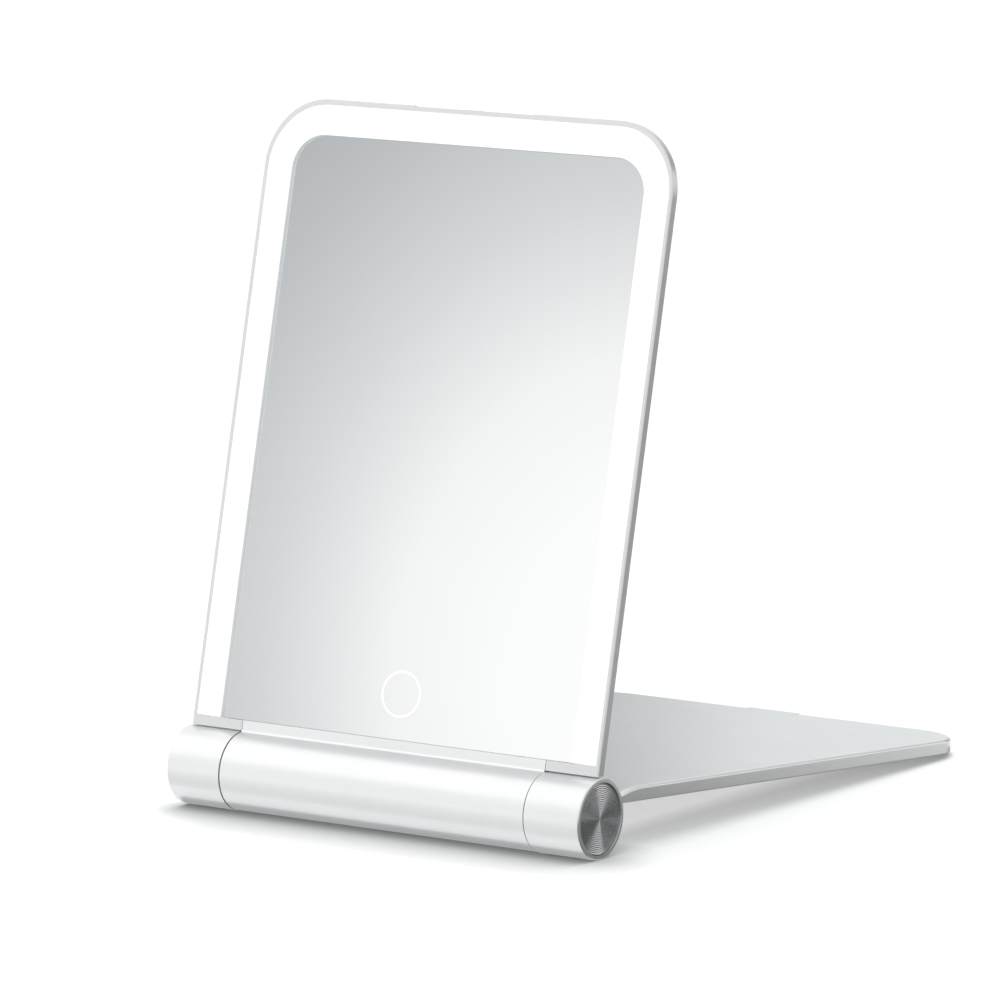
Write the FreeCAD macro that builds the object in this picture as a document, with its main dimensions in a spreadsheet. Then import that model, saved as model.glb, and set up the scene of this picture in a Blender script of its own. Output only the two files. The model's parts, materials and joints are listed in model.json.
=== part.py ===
import FreeCAD
import Part
import math
import os
import re

import Sketcher
from FreeCAD import Rotation, Vector

# Folding lighted travel mirror: a flat stand plate and a thin lit mirror panel on one hinge barrel.
# The pieces are drawn in three frames whose X axis is the barrel's axis. On the stand, Y runs out
# along the plate and Z away from its underside. On the panel, Z runs up the panel and -Y out of the
# mirror. In the port frame, Z is the way out of the charging socket. In the finished part the floor
# is at Z = 0, the mirror faces -Y and the origin is under the middle of the part.

# Driving sizes in millimetres, angles in degrees.
SIZES = (
    ("panel_width", 130.0, "mirror panel and stand plate, side to side"),
    ("panel_top", 179.8, "barrel axis to the panel's top edge"),
    ("panel_thickness", 2.8, "panel, front to back, with its back on the barrel axis"),
    ("panel_corner", 18.5, "radius of the panel's top corners"),
    ("panel_edge", 0.3, "bevel of the panel's outer edges"),
    ("rim_side", 1.05, "bare rim at each side of the panel"),
    ("rim_top", 1.4, "bare rim at the panel's top"),
    ("sill_rise", 2.64, "knuckle's top to the lower edge of the mirror"),
    ("tray_floor", 0.6, "back wall of the panel"),
    ("light_side", 8.0, "light band beside the mirror"),
    ("light_top", 8.3, "light band above the mirror"),
    ("light_recess", 0.3, "light band's face below the rim"),
    ("film_thickness", 0.12, "white film behind the light band"),
    ("glass_bed", 0.3, "room for tape and electrode behind the mirror"),
    ("glass_thickness", 0.65, "mirror plate"),
    ("ring_radius", 5.93, "touch mark, at the middle of its line"),
    ("ring_line", 0.52, "touch mark's line"),
    ("ring_depth", 0.2, "touch mark's groove"),
    ("ring_rise", 12.1, "lower edge of the mirror to the touch mark's centre"),
    ("border_lip", 0.7, "wall in front of the light sources"),
    ("border_gap", 0.15, "panel corner to the end of the barrel's strip"),
    ("scoop_half", 19.2, "finger scoop in the panel's top edge, half its width"),
    ("scoop_depth", 0.25, "finger scoop's depth"),
    ("nub_half", 2.9, "nub in the middle of the scoop, half its width"),
    ("nub_height", 0.12, "nub above the scoop"),
    ("barrel_radius", 10.66, "end knuckles of the barrel"),
    ("center_lift", 0.16, "middle barrel's surface below that of the knuckles"),
    ("center_wall", 1.2, "wall of the middle barrel"),
    ("seam_gap", 0.35, "middle barrel to each knuckle"),
    ("knuckle_length", 16.95, "each knuckle along the barrel"),
    ("knuckle_overhang", 0.775, "knuckle's end beyond the panel's side"),
    ("knuckle_wall", 4.5, "knuckle's inner end wall"),
    ("fold_gap", 0.3, "panel to barrel, and panel to plate when closed"),
    ("nest_gap", 0.6, "middle barrel to the plate's near edge"),
    ("flange_blend", 1.0, "hollow rounding between barrel and strip"),
    ("flange_tape", 0.15, "tape between the panel's back wall and the strip"),
    ("tape_margin", 1.0, "tape or film to the edge of what it holds"),
    ("pin_radius", 3.0, "hinge pin"),
    ("pin_head_radius", 5.0, "hinge pin's head"),
    ("pin_head", 1.8, "thickness of the head"),
    ("pin_tail", 1.1, "pin beyond its nut"),
    ("run_gap", 0.04, "running clearance of pin in bush"),
    ("fit_gap", 0.02, "clearance of a piece in its seat"),
    ("bush_radius", 4.95, "friction bush"),
    ("bush_gap", 0.05, "bush in the knuckle's inner wall"),
    ("washer_thickness", 1.2, "spring washer, pressed flat"),
    ("washer_gap", 0.05, "between the washer and what it presses on"),
    ("cavity_play", 1.0, "washer in the knuckle's cavity"),
    ("nut_flats", 10.0, "hinge nut across its flats"),
    ("nut_height", 3.5, "hinge nut along the pin"),
    ("plug_length", 4.2, "plug in the end of the middle barrel"),
    ("plug_gap", 0.05, "plug in the barrel's bore"),
    ("end_ring", 1.1, "ring of the knuckle's end round the cap"),
    ("cap_gap", 0.05, "end cap in its mouth"),
    ("cap_thickness", 1.9, "disc of the end cap"),
    ("cap_recess", 0.35, "end cap below the knuckle's end face"),
    ("cap_ledge", 1.56, "ledge behind the cap's edge"),
    ("knuckle_edge", 0.3, "bevel of the knuckle's outer end"),
    ("plate_beyond", 8.7, "plate's far edge beyond the panel's top when closed"),
    ("plate_thickness", 4.0, "stand plate"),
    ("plate_bite", 2.0, "knuckle's surface to the plate's start inside it"),
    ("plate_corner", 18.0, "radius of the plate's far corners"),
    ("plate_edge", 1.0, "rounding of the plate's upper edge"),
    ("plate_underedge", 0.4, "bevel of the plate's lower edge"),
    ("fall_out", 9.34, "knuckle's surface to where the plate's top begins to fall"),
    ("fall_radius", 35.0, "curve of that fall"),
    ("lip_half", 8.1, "thumb lip, half its crest"),
    ("lip_ramp", 0.9, "slope at each end of the lip"),
    ("lip_height", 0.45, "lip above the plate"),
    ("lip_depth", 12.0, "lip's rise along the plate, foot to crest"),
    ("lip_inset", 1.8, "lip to the plate's far edge"),
    ("liner_start", 22.0, "barrel axis to the underside cover"),
    ("liner_side", 6.5, "underside cover to the plate's sides"),
    ("liner_far", 13.0, "underside cover to the plate's far edge"),
    ("liner_corner", 12.0, "corners of the underside cover"),
    ("liner_thickness", 1.2, "underside cover"),
    ("liner_gap", 0.1, "underside cover in its pocket"),
    ("latch_radius", 3.5, "magnets and the steel discs that they hold"),
    ("latch_inset", 17.0, "panel's side to each magnet and disc"),
    ("latch_drop", 21.8, "panel's top to each magnet and disc"),
    ("latch_gap", 0.1, "magnet or disc in its pocket"),
    ("magnet_thickness", 1.5, "magnet"),
    ("latch_thickness", 0.3, "steel disc"),
    ("foot_inset", 2.0, "rear foot to the plate's far edge"),
    ("foot_depth", 6.0, "rear foot along the plate"),
    ("foot_margin", 13.0, "rear foot's ends to the plate's sides"),
    ("foot_seat", 1.0, "groove for the rear foot"),
    ("foot_drop", 0.62, "rear foot below the plate"),
    ("foot_gap", 0.05, "rubber pieces in their grooves"),
    ("pad_half", 2.5, "knuckle pad, half its width"),
    ("pad_seat", 0.8, "groove for the knuckle pad"),
    ("pad_inset", 1.8, "knuckle pad to the knuckle's inner face"),
    ("pad_length", 11.5, "knuckle pad along the barrel"),
    ("lean", 12.4, "panel back from upright"),
    ("cell_play", 0.1, "battery cell in the barrel's bore"),
    ("cell_gap", 0.2, "cell to the hinge pin's head beside it"),
    ("wire_room", 2.2, "cell to the control board"),
    ("board_length", 16.0, "control board along the barrel"),
    ("board_gap", 1.5, "control board to the hinge pin's head beside it"),
    ("board_play", 0.26, "control board's edges in the barrel's bore"),
    ("board_thickness", 1.0, "control board"),
    ("board_level", 2.5, "barrel axis to the control board's face"),
    ("chip_size", 5.0, "driver chip on the control board"),
    ("chip_height", 1.0, "driver chip"),
    ("port_angle", 20.6, "charging socket behind the panel's plane"),
    ("socket_width", 8.94, "charging socket, outside"),
    ("socket_height", 3.26, "charging socket, outside"),
    ("socket_depth", 7.4, "charging socket"),
    ("socket_wall", 0.3, "sheet of the socket's shell"),
    ("socket_floor", 1.2, "closed end of the socket"),
    ("tongue_width", 6.69, "contact tongue in the socket"),
    ("tongue_height", 0.7, "contact tongue"),
    ("tongue_set", 0.6, "tongue's end below the socket's mouth"),
    ("port_gap", 0.18, "socket in the barrel's opening"),
    ("flex_thickness", 0.12, "touch electrode's film"),
    ("electrode_radius", 7.0, "touch electrode"),
    ("flex_rise", 0.7, "lower edge of the mirror to the film's cross strip"),
    ("flex_strip", 2.5, "width of that strip"),
    ("flex_neck", 4.0, "strip from the electrode"),
    ("tail_inset", 0.4, "end of the control board to the film's tail"),
    ("tail_width", 2.6, "film's tail"),
    ("tail_end", 3.2, "barrel axis to the tail's end"),
    ("tail_gap", 0.15, "film's tail in its slot"),
    ("led_wall", 0.8, "wall under the light sources"),
    ("led_inset", 1.5, "end of the middle barrel to the light board"),
    ("led_board_thickness", 0.6, "light board"),
    ("led_play", 0.16, "light board to the wall in front of it"),
    ("led_width", 1.6, "light source along its board"),
    ("led_height", 0.7, "light source above its board"),
    ("led_setback", 0.1, "light source to its board's edges, front and back"),
    ("led_pitch", 2.2, "light source to the next"),
    ("led_gap", 0.1, "light board and light band in the tray"),
)

# How many light sources each board has.
LED_COUNT = 3

# Lengths below this count as nothing when edges are picked.
HAIR = 0.02

# Sizes that follow from the driving ones.
WORKED = (
    ("half_width", "panel_width / 2"),
    ("sill", "barrel_radius + sill_rise"),
    ("ring_height", "sill + ring_rise"),
    ("inner_corner", "panel_corner - rim_side"),
    ("inner_half", "half_width - rim_side"),
    ("inner_top", "panel_top - rim_top"),
    ("mirror_half", "inner_half - light_side"),
    ("mirror_top", "inner_top - light_top"),
    ("mirror_corner", "inner_corner - light_side"),
    ("glass_back", "tray_floor + glass_bed"),
    ("glass_front", "glass_back + glass_thickness"),
    ("light_back", "tray_floor + film_thickness + fit_gap"),
    ("flange_back", "tray_floor + flange_tape"),
    ("sweep_radius", "barrel_radius + fold_gap"),
    ("led_floor", "sweep_radius + led_wall"),
    ("led_board_level", "tray_floor + flex_thickness + fit_gap"),
    ("led_board_height", "panel_thickness - border_lip - led_board_level - led_play"),
    ("center_radius", "barrel_radius - center_lift"),
    ("bore_radius", "center_radius - center_wall"),
    ("knuckle_end", "half_width + knuckle_overhang"),
    ("knuckle_start", "knuckle_end - knuckle_length"),
    ("center_half", "knuckle_start - seam_gap"),
    ("center_length", "2 * center_half"),
    ("led_start", "center_half + led_inset"),
    ("plug_start", "center_half - plug_length"),
    ("head_start", "plug_start - pin_head - fit_gap"),
    ("wall_end", "knuckle_start + knuckle_wall"),
    ("cap_seat", "cap_recess + cap_thickness + fit_gap"),
    ("cap_mouth", "barrel_radius - end_ring"),
    ("cap_radius", "cap_mouth - cap_gap"),
    ("cavity_radius", "cap_mouth - cap_ledge"),
    ("washer_radius", "cavity_radius - cavity_play"),
    ("washer_start", "wall_end + washer_gap"),
    ("nut_start", "washer_start + washer_thickness + washer_gap"),
    ("pin_end", "nut_start + nut_height + pin_tail"),
    ("plate_root", "barrel_radius - plate_bite"),
    ("plate_length", "panel_top + plate_beyond"),
    ("latch_side", "half_width - latch_inset"),
    ("latch_height", "panel_top - latch_drop"),
    ("foot_half", "half_width - foot_margin"),
    ("plate_bottom", "panel_thickness + fold_gap"),
    ("plate_top", "plate_bottom + plate_thickness"),
    ("liner_ceiling", "plate_bottom + liner_thickness + liner_gap"),
    ("magnet_ceiling", "liner_ceiling + magnet_thickness + latch_gap"),
    ("foot_out", "plate_length - foot_inset"),
    ("foot_in", "foot_out - foot_depth"),
    ("foot_middle", "foot_out - foot_depth / 2"),
    ("foot_level", "plate_bottom - foot_drop"),
    ("pad_start", "knuckle_start + pad_inset"),
    ("pad_end", "pad_start + pad_length"),
    ("slope", "atan(foot_level / foot_middle)"
              " + asin(barrel_radius / sqrt(foot_level ^ 2 + foot_middle ^ 2))"),
    ("far_reach", "(plate_length - plate_edge) * cos(slope)"
                  " + (plate_top - plate_edge) * sin(slope) + plate_edge"),
    ("axis_y", "(barrel_radius - far_reach) / 2"),
    ("board_stop", "head_start - board_gap"),
    ("board_start", "board_stop - board_length"),
    ("board_middle", "board_stop - board_length / 2"),
    ("board_half", "sqrt(bore_radius ^ 2 - board_level ^ 2) - board_play"),
    ("tail_stop", "board_stop - tail_inset"),
    ("tail_start", "tail_stop - tail_width"),
    ("cell_start", "cell_gap - head_start"),
    ("cell_length", "board_start - wire_room - cell_start"),
)

DRIVING = {row[0] for row in SIZES}
DERIVED = {row[0] for row in WORKED}

doc = FreeCAD.newDocument("FoldingMirror")
nodes = []


def sized(text, inside_worked=False):
    """Point every size named in an expression at the sheet that holds it."""
    def home(word):
        name = word.group(0)
        if name in DRIVING:
            return "Sizes." + name
        if name in DERIVED and not inside_worked:
            return "Worked." + name
        return name
    return re.sub(r"[a-z_]+", home, text)


def fill_sheets():
    """One sheet of plain driving numbers, and one of the sizes worked out from them."""
    driving = doc.addObject("Spreadsheet::Sheet", "Sizes")
    for line, (alias, value, note) in enumerate(SIZES, start=1):
        driving.set(f"A{line}", note)
        driving.set(f"B{line}", str(value))
        driving.setAlias(f"B{line}", alias)
    doc.recompute()
    worked = doc.addObject("Spreadsheet::Sheet", "Worked")
    for line, (alias, formula) in enumerate(WORKED, start=1):
        worked.setAlias(f"B{line}", alias)
        worked.set(f"B{line}", "=" + sized(formula, inside_worked=True))
    doc.recompute()
    return driving


sheet = fill_sheets()


def worth(text):
    """The present value of an expression, as a plain number."""
    value = sheet.evalExpression(sized(text))
    return float(getattr(value, "Value", value))


def frame(turn):
    """Expression for a frame on the barrel's axis, tipped back about it by an angle."""
    return sized(f"placement(vector(0; axis_y; barrel_radius); vector(1; 0; 0); -({turn}))")


STAND = frame("slope")
PANEL = frame("lean")
PORT = frame("lean + port_angle")


def new_body(label, place):
    """An empty body for one sub-part, in one of the three frames."""
    body = doc.addObject("PartDesign::Body", label)
    body.Label = label
    body.setExpression("Placement", place)
    nodes.append(body)
    return body


def sketch(body, plane, level="0"):
    """An empty sketch on one of the body's own origin planes, raised along its normal."""
    drawing = body.newObject("Sketcher::SketchObject", "Sketch")
    support = next(item for item in body.Origin.OriginFeatures if item.Role == plane)
    drawing.AttachmentSupport = (support, [""])
    drawing.MapMode = "FlatFace"
    drawing.setExpression("AttachmentOffset.Base.z", sized(level))
    return drawing


def constrain(drawing, text, kind, *where):
    """A dimension whose value is an expression."""
    number = drawing.addConstraint(Sketcher.Constraint(kind, *where, worth(text)))
    drawing.setExpression(f"Constraints[{number}]", sized(text))


def pin_point(drawing, item, end, x, y):
    """Hold one end of a line, or a circle's centre, at a place given by two expressions."""
    constrain(drawing, x, "DistanceX", -1, 1, item, end)
    constrain(drawing, y, "DistanceY", -1, 1, item, end)


def circle(drawing, x, y, radius):
    item = drawing.addGeometry(Part.Circle(Vector(worth(x), worth(y), 0), Vector(0, 0, 1), worth(radius)))
    pin_point(drawing, item, 3, x, y)
    constrain(drawing, radius, "Radius", item)


def outline(drawing, corners):
    """Closed outline, anticlockwise, through corners (x, y) or square round ones (x, y, radius)."""
    spots = [Vector(worth(corner[0]), worth(corner[1]), 0) for corner in corners]
    count = len(corners)
    ways = [(spots[(n + 1) % count] - spots[n]).normalize() for n in range(count)]

    def along(n, way, sign):
        """The place on a side where the round corner n ends."""
        x, y = corners[n][:2]
        if len(corners[n]) == 2:
            return x, y
        step = [sign * round(part) for part in (way.x, way.y)]
        return tuple(f"{text} + {part} * ({corners[n][2]})" for text, part in zip((x, y), step))

    sides = []
    for n in range(count):
        start = along(n, ways[n], 1)
        stop = along((n + 1) % count, ways[n], -1)
        line = Part.LineSegment(*(Vector(worth(x), worth(y), 0) for x, y in (start, stop)))
        sides.append(drawing.addGeometry(line))
        pin_point(drawing, sides[n], 1, *start)
        if len(corners[(n + 1) % count]) == 3:
            pin_point(drawing, sides[n], 2, *stop)
    for n in range(count):
        before = sides[n - 1]
        if len(corners[n]) == 2:
            drawing.addConstraint(Sketcher.Constraint("Coincident", before, 2, sides[n], 1))
            continue
        reach = worth(corners[n][2])
        centre = spots[n] - ways[n - 1] * reach + ways[n] * reach
        first = math.atan2(-ways[n].y, -ways[n].x)
        ring = Part.Circle(centre, Vector(0, 0, 1), reach)
        arc = drawing.addGeometry(Part.ArcOfCircle(ring, first, first + math.pi / 2))
        drawing.addConstraint(Sketcher.Constraint("Coincident", before, 2, arc, 1))
        drawing.addConstraint(Sketcher.Constraint("Coincident", arc, 2, sides[n], 1))
        constrain(drawing, corners[n][2], "Radius", arc)


def shoulder(drawing, near, far, level, radius):
    """Closed outline between a level line and the arc that falls away from its far end."""
    start, stop, height, reach = (worth(text) for text in (near, far, level, radius))
    ring = Part.Circle(Vector(stop, height - reach, 0), Vector(0, 0, 1), reach)
    turn = math.acos((start - stop) / reach)
    corner = Vector(start, height, 0)
    arc = drawing.addGeometry(Part.ArcOfCircle(ring, math.pi / 2, turn))
    rise = drawing.addGeometry(Part.LineSegment(ring.value(turn), corner))
    line = drawing.addGeometry(Part.LineSegment(corner, Vector(stop, height, 0)))
    for before, after in ((arc, rise), (rise, line), (line, arc)):
        drawing.addConstraint(Sketcher.Constraint("Coincident", before, 2, after, 1))
    pin_point(drawing, line, 1, near, level)
    pin_point(drawing, arc, 3, far, f"{level} - {radius}")
    constrain(drawing, far, "DistanceX", -1, 1, arc, 1)
    constrain(drawing, near, "DistanceX", -1, 1, arc, 2)
    constrain(drawing, radius, "Radius", arc)


def rectangle(drawing, left, low, right, high, radius=None):
    corners = [(left, low), (right, low), (right, high), (left, high)]
    outline(drawing, [corner + (radius,) if radius else corner for corner in corners])


def arched(drawing, half, low, high, radius):
    """The panel's outline: square at the bottom, round at both top corners."""
    left = f"-({half})"
    outline(drawing, [(left, low), (half, low), (half, high, radius), (left, high, radius)])


def both_sides(drawing, left, low, right, high):
    """A rectangle and its mirror image across the middle plane."""
    rectangle(drawing, left, low, right, high)
    rectangle(drawing, f"-({right})", low, f"-({left})", high)


def pad(body, drawing, length):
    feature = body.newObject("PartDesign::Pad", "Pad")
    feature.Profile = drawing
    feature.setExpression("Length", sized(length))
    doc.recompute()


def pocket(body, drawing, depth, outward=False):
    """Cut against the sketch's normal, or along it, and make sure that something was cut."""
    before = body.Shape.Volume
    feature = body.newObject("PartDesign::Pocket", "Pocket")
    feature.Profile = drawing
    feature.Reversed = outward
    feature.setExpression("Length", sized(depth))
    doc.recompute()
    if body.Shape.Volume >= before:
        raise ValueError(f"{body.Label}: a pocket cuts nothing")


def revolve(body, drawing):
    """A full turn about the barrel's axis."""
    feature = body.newObject("PartDesign::Revolution", "Revolution")
    feature.Profile = drawing
    feature.ReferenceAxis = (drawing, ["H_Axis"])
    doc.recompute()


def fillet(body, radius, wanted):
    """Round the edges that a test picks."""
    base = body.Tip
    feature = body.newObject("PartDesign::Fillet", "Fillet")
    edges = enumerate(base.Shape.Edges, start=1)
    feature.Base = (base, [f"Edge{n}" for n, edge in edges if wanted(edge)])
    feature.setExpression("Radius", sized(radius))
    doc.recompute()


def chamfer(body, size, wanted):
    """Bevel the edges that a test picks."""
    base = body.Tip
    feature = body.newObject("PartDesign::Chamfer", "Chamfer")
    edges = enumerate(base.Shape.Edges, start=1)
    feature.Base = (base, [f"Edge{n}" for n, edge in edges if wanted(edge)])
    feature.setExpression("Size", sized(size))
    doc.recompute()


def mirrored(label, source):
    """The same piece at the barrel's other end."""
    twin = doc.addObject("Part::Mirroring", label)
    twin.Label = label
    twin.Source = source
    twin.Normal = Vector(1, 0, 0)
    nodes.append(twin)


def pair(build, name):
    """A right-hand piece and its left-hand twin."""
    mirrored(name + "_left", build(name + "_right"))


# The stand

def cut_knuckles(body, near, far, radius):
    """A round recess in each knuckle, between two distances from the middle plane."""
    for level in (far, f"-({near})"):
        drawing = sketch(body, "YZ_Plane", level)
        circle(drawing, "0", "0", radius)
        pocket(body, drawing, f"({far}) - ({near})")


def base_shell():
    """Stand plate and knuckles in one piece: the plate's top falls in a curve into the knuckles."""
    body = new_body("base_shell", STAND)
    far = worth("plate_length - plate_corner")

    plate = sketch(body, "XY_Plane", "plate_bottom")
    arched(plate, "half_width", "plate_root", "plate_length", "plate_corner")
    pad(body, plate, "plate_thickness")
    fall = sketch(body, "YZ_Plane", "half_width")
    shoulder(fall, "plate_root", "barrel_radius + fall_out", "plate_top", "fall_radius")
    pocket(body, fall, "panel_width")

    def on_rim(edge):
        """True for the edges round the plate, but not for those across its near end."""
        box = edge.BoundBox
        across = box.XLength > worth("half_width")
        return not across or box.YMin > far

    def upper(edge):
        """True for the edges that start at the plate's top and stay above its underside."""
        box = edge.BoundBox
        return box.ZMax > worth("plate_top") - HAIR and box.ZMin > worth("plate_bottom") + HAIR

    def lower(edge):
        """True for the edges in the plate's underside."""
        return edge.BoundBox.ZMax < worth("plate_bottom") + HAIR

    fillet(body, "plate_edge", lambda edge: upper(edge) and on_rim(edge))
    chamfer(body, "plate_underedge", lambda edge: lower(edge) and on_rim(edge))

    lip = sketch(body, "XZ_Plane", "lip_inset - plate_length")
    foot, root, crest = "lip_half + lip_ramp", "plate_top - lip_height", "plate_top + lip_height"
    outline(lip, [(f"-({foot})", root), (foot, root), (foot, "plate_top"), ("lip_half", crest),
                  ("-lip_half", crest), (f"-({foot})", "plate_top")])
    pad(body, lip, "lip_depth")
    rise = sketch(body, "YZ_Plane", foot)
    near, far_crest = "plate_length - lip_inset - lip_depth", "plate_length - lip_inset"
    outline(rise, [(near, "plate_top"), (far_crest, crest), (near, crest)])
    pocket(body, rise, f"2 * ({foot})")

    for level in ("knuckle_start", "-knuckle_end"):
        drawing = sketch(body, "YZ_Plane", level)
        circle(drawing, "0", "0", "barrel_radius")
        pad(body, drawing, "knuckle_length")
    nest = sketch(body, "YZ_Plane", "knuckle_start")
    circle(nest, "0", "0", "center_radius + nest_gap")
    pocket(body, nest, "2 * knuckle_start")
    cut_knuckles(body, "wall_end", "knuckle_end", "cavity_radius")
    cut_knuckles(body, "knuckle_end - cap_seat", "knuckle_end", "cap_mouth")
    cut_knuckles(body, "knuckle_start", "wall_end", "bush_radius + bush_gap")

    liner = sketch(body, "XY_Plane", "liner_ceiling")
    rectangle(liner, "liner_side - half_width", "liner_start", "half_width - liner_side",
              "plate_length - liner_far", "liner_corner")
    pocket(body, liner, "liner_thickness + liner_gap")
    magnets = sketch(body, "XY_Plane", "magnet_ceiling")
    for side in ("latch_side", "-latch_side"):
        circle(magnets, side, "latch_height", "latch_radius + latch_gap")
    pocket(body, magnets, "magnet_thickness + latch_gap")
    foot_groove = sketch(body, "XY_Plane", "plate_bottom + foot_seat")
    rectangle(foot_groove, "-foot_half", "foot_in", "foot_half", "foot_out")
    pocket(body, foot_groove, "foot_seat")
    pad_grooves = sketch(body, "XY_Plane", "pad_seat - barrel_radius")
    both_sides(pad_grooves, "pad_start", "-pad_half", "pad_end", "pad_half")
    pocket(body, pad_grooves, "pad_seat")

    def round_end(edge):
        """True for the outer circle of a knuckle's end face."""
        box = edge.BoundBox
        on_face = abs(abs(box.Center.x) - worth("knuckle_end")) < HAIR and box.XLength < HAIR
        return on_face and box.YLength > worth("2 * barrel_radius") - HAIR

    chamfer(body, "knuckle_edge", round_end)


def base_liner():
    """Flat cover let into the plate's underside."""
    body = new_body("base_liner", STAND)
    side = "half_width - liner_side - liner_gap"
    drawing = sketch(body, "XY_Plane", "plate_bottom")
    rectangle(drawing, f"-({side})", "liner_start + liner_gap", side,
              "plate_length - liner_far - liner_gap", "liner_corner - liner_gap")
    pad(body, drawing, "liner_thickness")


def closing_magnets():
    """Two disc magnets above the cover."""
    body = new_body("closing_magnets", STAND)
    drawing = sketch(body, "XY_Plane", "liner_ceiling")
    for side in ("latch_side", "-latch_side"):
        circle(drawing, side, "latch_height", "latch_radius")
    pad(body, drawing, "magnet_thickness")


def rear_foot():
    """Rubber strip whose underside lies on the floor."""
    body = new_body("rear_foot", STAND)
    near, far = "foot_in + foot_gap", "foot_out - foot_gap"
    ceiling = "plate_bottom + foot_seat - foot_gap"
    floor = "({0}) * tan(slope) - barrel_radius / cos(slope)"
    drawing = sketch(body, "YZ_Plane", "foot_gap - foot_half")
    outline(drawing, [(near, floor.format(near)), (far, floor.format(far)), (far, ceiling), (near, ceiling)])
    pad(body, drawing, "2 * (foot_half - foot_gap)")


def knuckle_pad(label):
    """Rubber pad, flush with the knuckle's round underside."""
    block = doc.addObject("Part::Box", label + "_block")
    for name, text in (("Length", "pad_length - 2 * foot_gap"), ("Width", "2 * (pad_half - foot_gap)"),
                       ("Height", "pad_seat - foot_gap"), ("Placement.Base.x", "pad_start + foot_gap"),
                       ("Placement.Base.y", "foot_gap - pad_half"), ("Placement.Base.z", "-barrel_radius")):
        block.setExpression(name, sized(text))
    drum = doc.addObject("Part::Cylinder", label + "_drum")
    drum.setExpression("Radius", sized("barrel_radius"))
    drum.setExpression("Height", sized("knuckle_end"))
    drum.Placement.Rotation = Rotation(Vector(0, 1, 0), 90)
    piece = doc.addObject("Part::Common", label)
    piece.Label = label
    piece.Base = block
    piece.Tool = drum
    piece.setExpression("Placement", STAND)
    nodes.append(piece)
    return piece


def friction_bush(label):
    """Sleeve in the knuckle's inner wall, in which the pin turns."""
    body = new_body(label, STAND)
    drawing = sketch(body, "XZ_Plane")
    rectangle(drawing, "knuckle_start", "pin_radius + run_gap", "wall_end", "bush_radius")
    revolve(body, drawing)
    return body


def end_cap(label):
    """Disc in the knuckle's mouth, bonded to the ledge behind its edge."""
    body = new_body(label, STAND)
    drawing = sketch(body, "YZ_Plane", "knuckle_end - cap_recess - cap_thickness")
    circle(drawing, "0", "0", "cap_radius")
    pad(body, drawing, "cap_thickness")
    return body


# The hinge pack and the middle barrel

def hinge_pin(label):
    """Headed pin: its head lies behind the plug, and it runs through plug and bush to the nut."""
    body = new_body(label, PANEL)
    drawing = sketch(body, "XZ_Plane")
    shoulder = "head_start + pin_head"
    outline(drawing, [("head_start", "0"), ("pin_end", "0"), ("pin_end", "pin_radius"),
                      (shoulder, "pin_radius"), (shoulder, "pin_head_radius"),
                      ("head_start", "pin_head_radius")])
    revolve(body, drawing)
    return body


def barrel_plug(label):
    """Plug in the middle barrel's end, which carries the pin."""
    body = new_body(label, PANEL)
    drawing = sketch(body, "XZ_Plane")
    rectangle(drawing, "plug_start", "pin_radius + fit_gap", "center_half", "bore_radius - plug_gap")
    revolve(body, drawing)
    return body


def spring_washer(label):
    """Disc spring, pressed flat, which holds the hinge's friction faces together."""
    body = new_body(label, PANEL)
    drawing = sketch(body, "XZ_Plane")
    rectangle(drawing, "washer_start", "pin_radius + 2 * run_gap", "washer_start + washer_thickness",
              "washer_radius")
    revolve(body, drawing)
    return body


def hinge_nut(label):
    """Hexagon nut on the pin's outer end."""
    body = new_body(label, PANEL)
    drawing = sketch(body, "YZ_Plane", "nut_start")
    corner = "nut_flats / 2 / cos(30) * {0}({1})"
    outline(drawing, [(corner.format("cos", turn), corner.format("sin", turn)) for turn in range(0, 360, 60)])
    circle(drawing, "0", "0", "pin_radius + fit_gap")
    pad(body, drawing, "nut_height")
    return body


def center_barrel():
    """Middle tube of the barrel, and the strip on it that closes the panel's lower edge."""
    body = new_body("center_barrel", PANEL)
    tube = sketch(body, "YZ_Plane", "-center_half")
    circle(tube, "0", "0", "center_radius")
    pad(body, tube, "center_length")
    strip = sketch(body, "YZ_Plane", "-center_half")
    rectangle(strip, "-panel_thickness", "bore_radius", "-flange_back", "sill")
    pad(body, strip, "center_length")

    def in_front_corner(edge):
        """True for the inner corner where the strip's face meets the tube."""
        box = edge.BoundBox
        lengthwise = box.XLength > worth("center_half") and box.ZMax < worth("sill") - HAIR
        return lengthwise and abs(box.Center.y + worth("panel_thickness")) < HAIR

    fillet(body, "flange_blend", in_front_corner)
    bore = sketch(body, "YZ_Plane", "center_half")
    circle(bore, "0", "0", "bore_radius")
    pocket(body, bore, "center_length")

    slot = sketch(body, "XY_Plane", "sill - border_gap")
    rectangle(slot, "tail_start - tail_gap", "-(tray_floor + flex_thickness + tail_gap)",
              "tail_stop + tail_gap", "tail_gap - tray_floor")
    pocket(body, slot, "sill - bore_radius + center_wall")
    port = sketch(body, "XY_Plane")
    port.setExpression("AttachmentOffset", sized("placement(vector(0; 0; 0); vector(1; 0; 0); -port_angle)"))
    wide, high = "(socket_width / 2 + port_gap)", "(socket_height / 2 + port_gap)"
    rectangle(port, f"board_middle - {wide}", f"-{high}", f"board_middle + {wide}", high, f"{high} - fit_gap")
    pocket(body, port, "barrel_radius", outward=True)


def flange_tape():
    """Bond between the tray's back wall and the barrel's strip, open for the film's tail."""
    body = new_body("flange_tape", PANEL)
    drawing = sketch(body, "XZ_Plane", "tray_floor")
    low, high = "sweep_radius + fold_gap", "sill - border_gap"
    end = "center_half - tape_margin"
    rectangle(drawing, f"-({end})", low, "tail_start - 2 * tail_gap", high)
    rectangle(drawing, "tail_stop + 2 * tail_gap", low, end, high)
    pad(body, drawing, "flange_tape - fit_gap")


# The mirror panel

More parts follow.
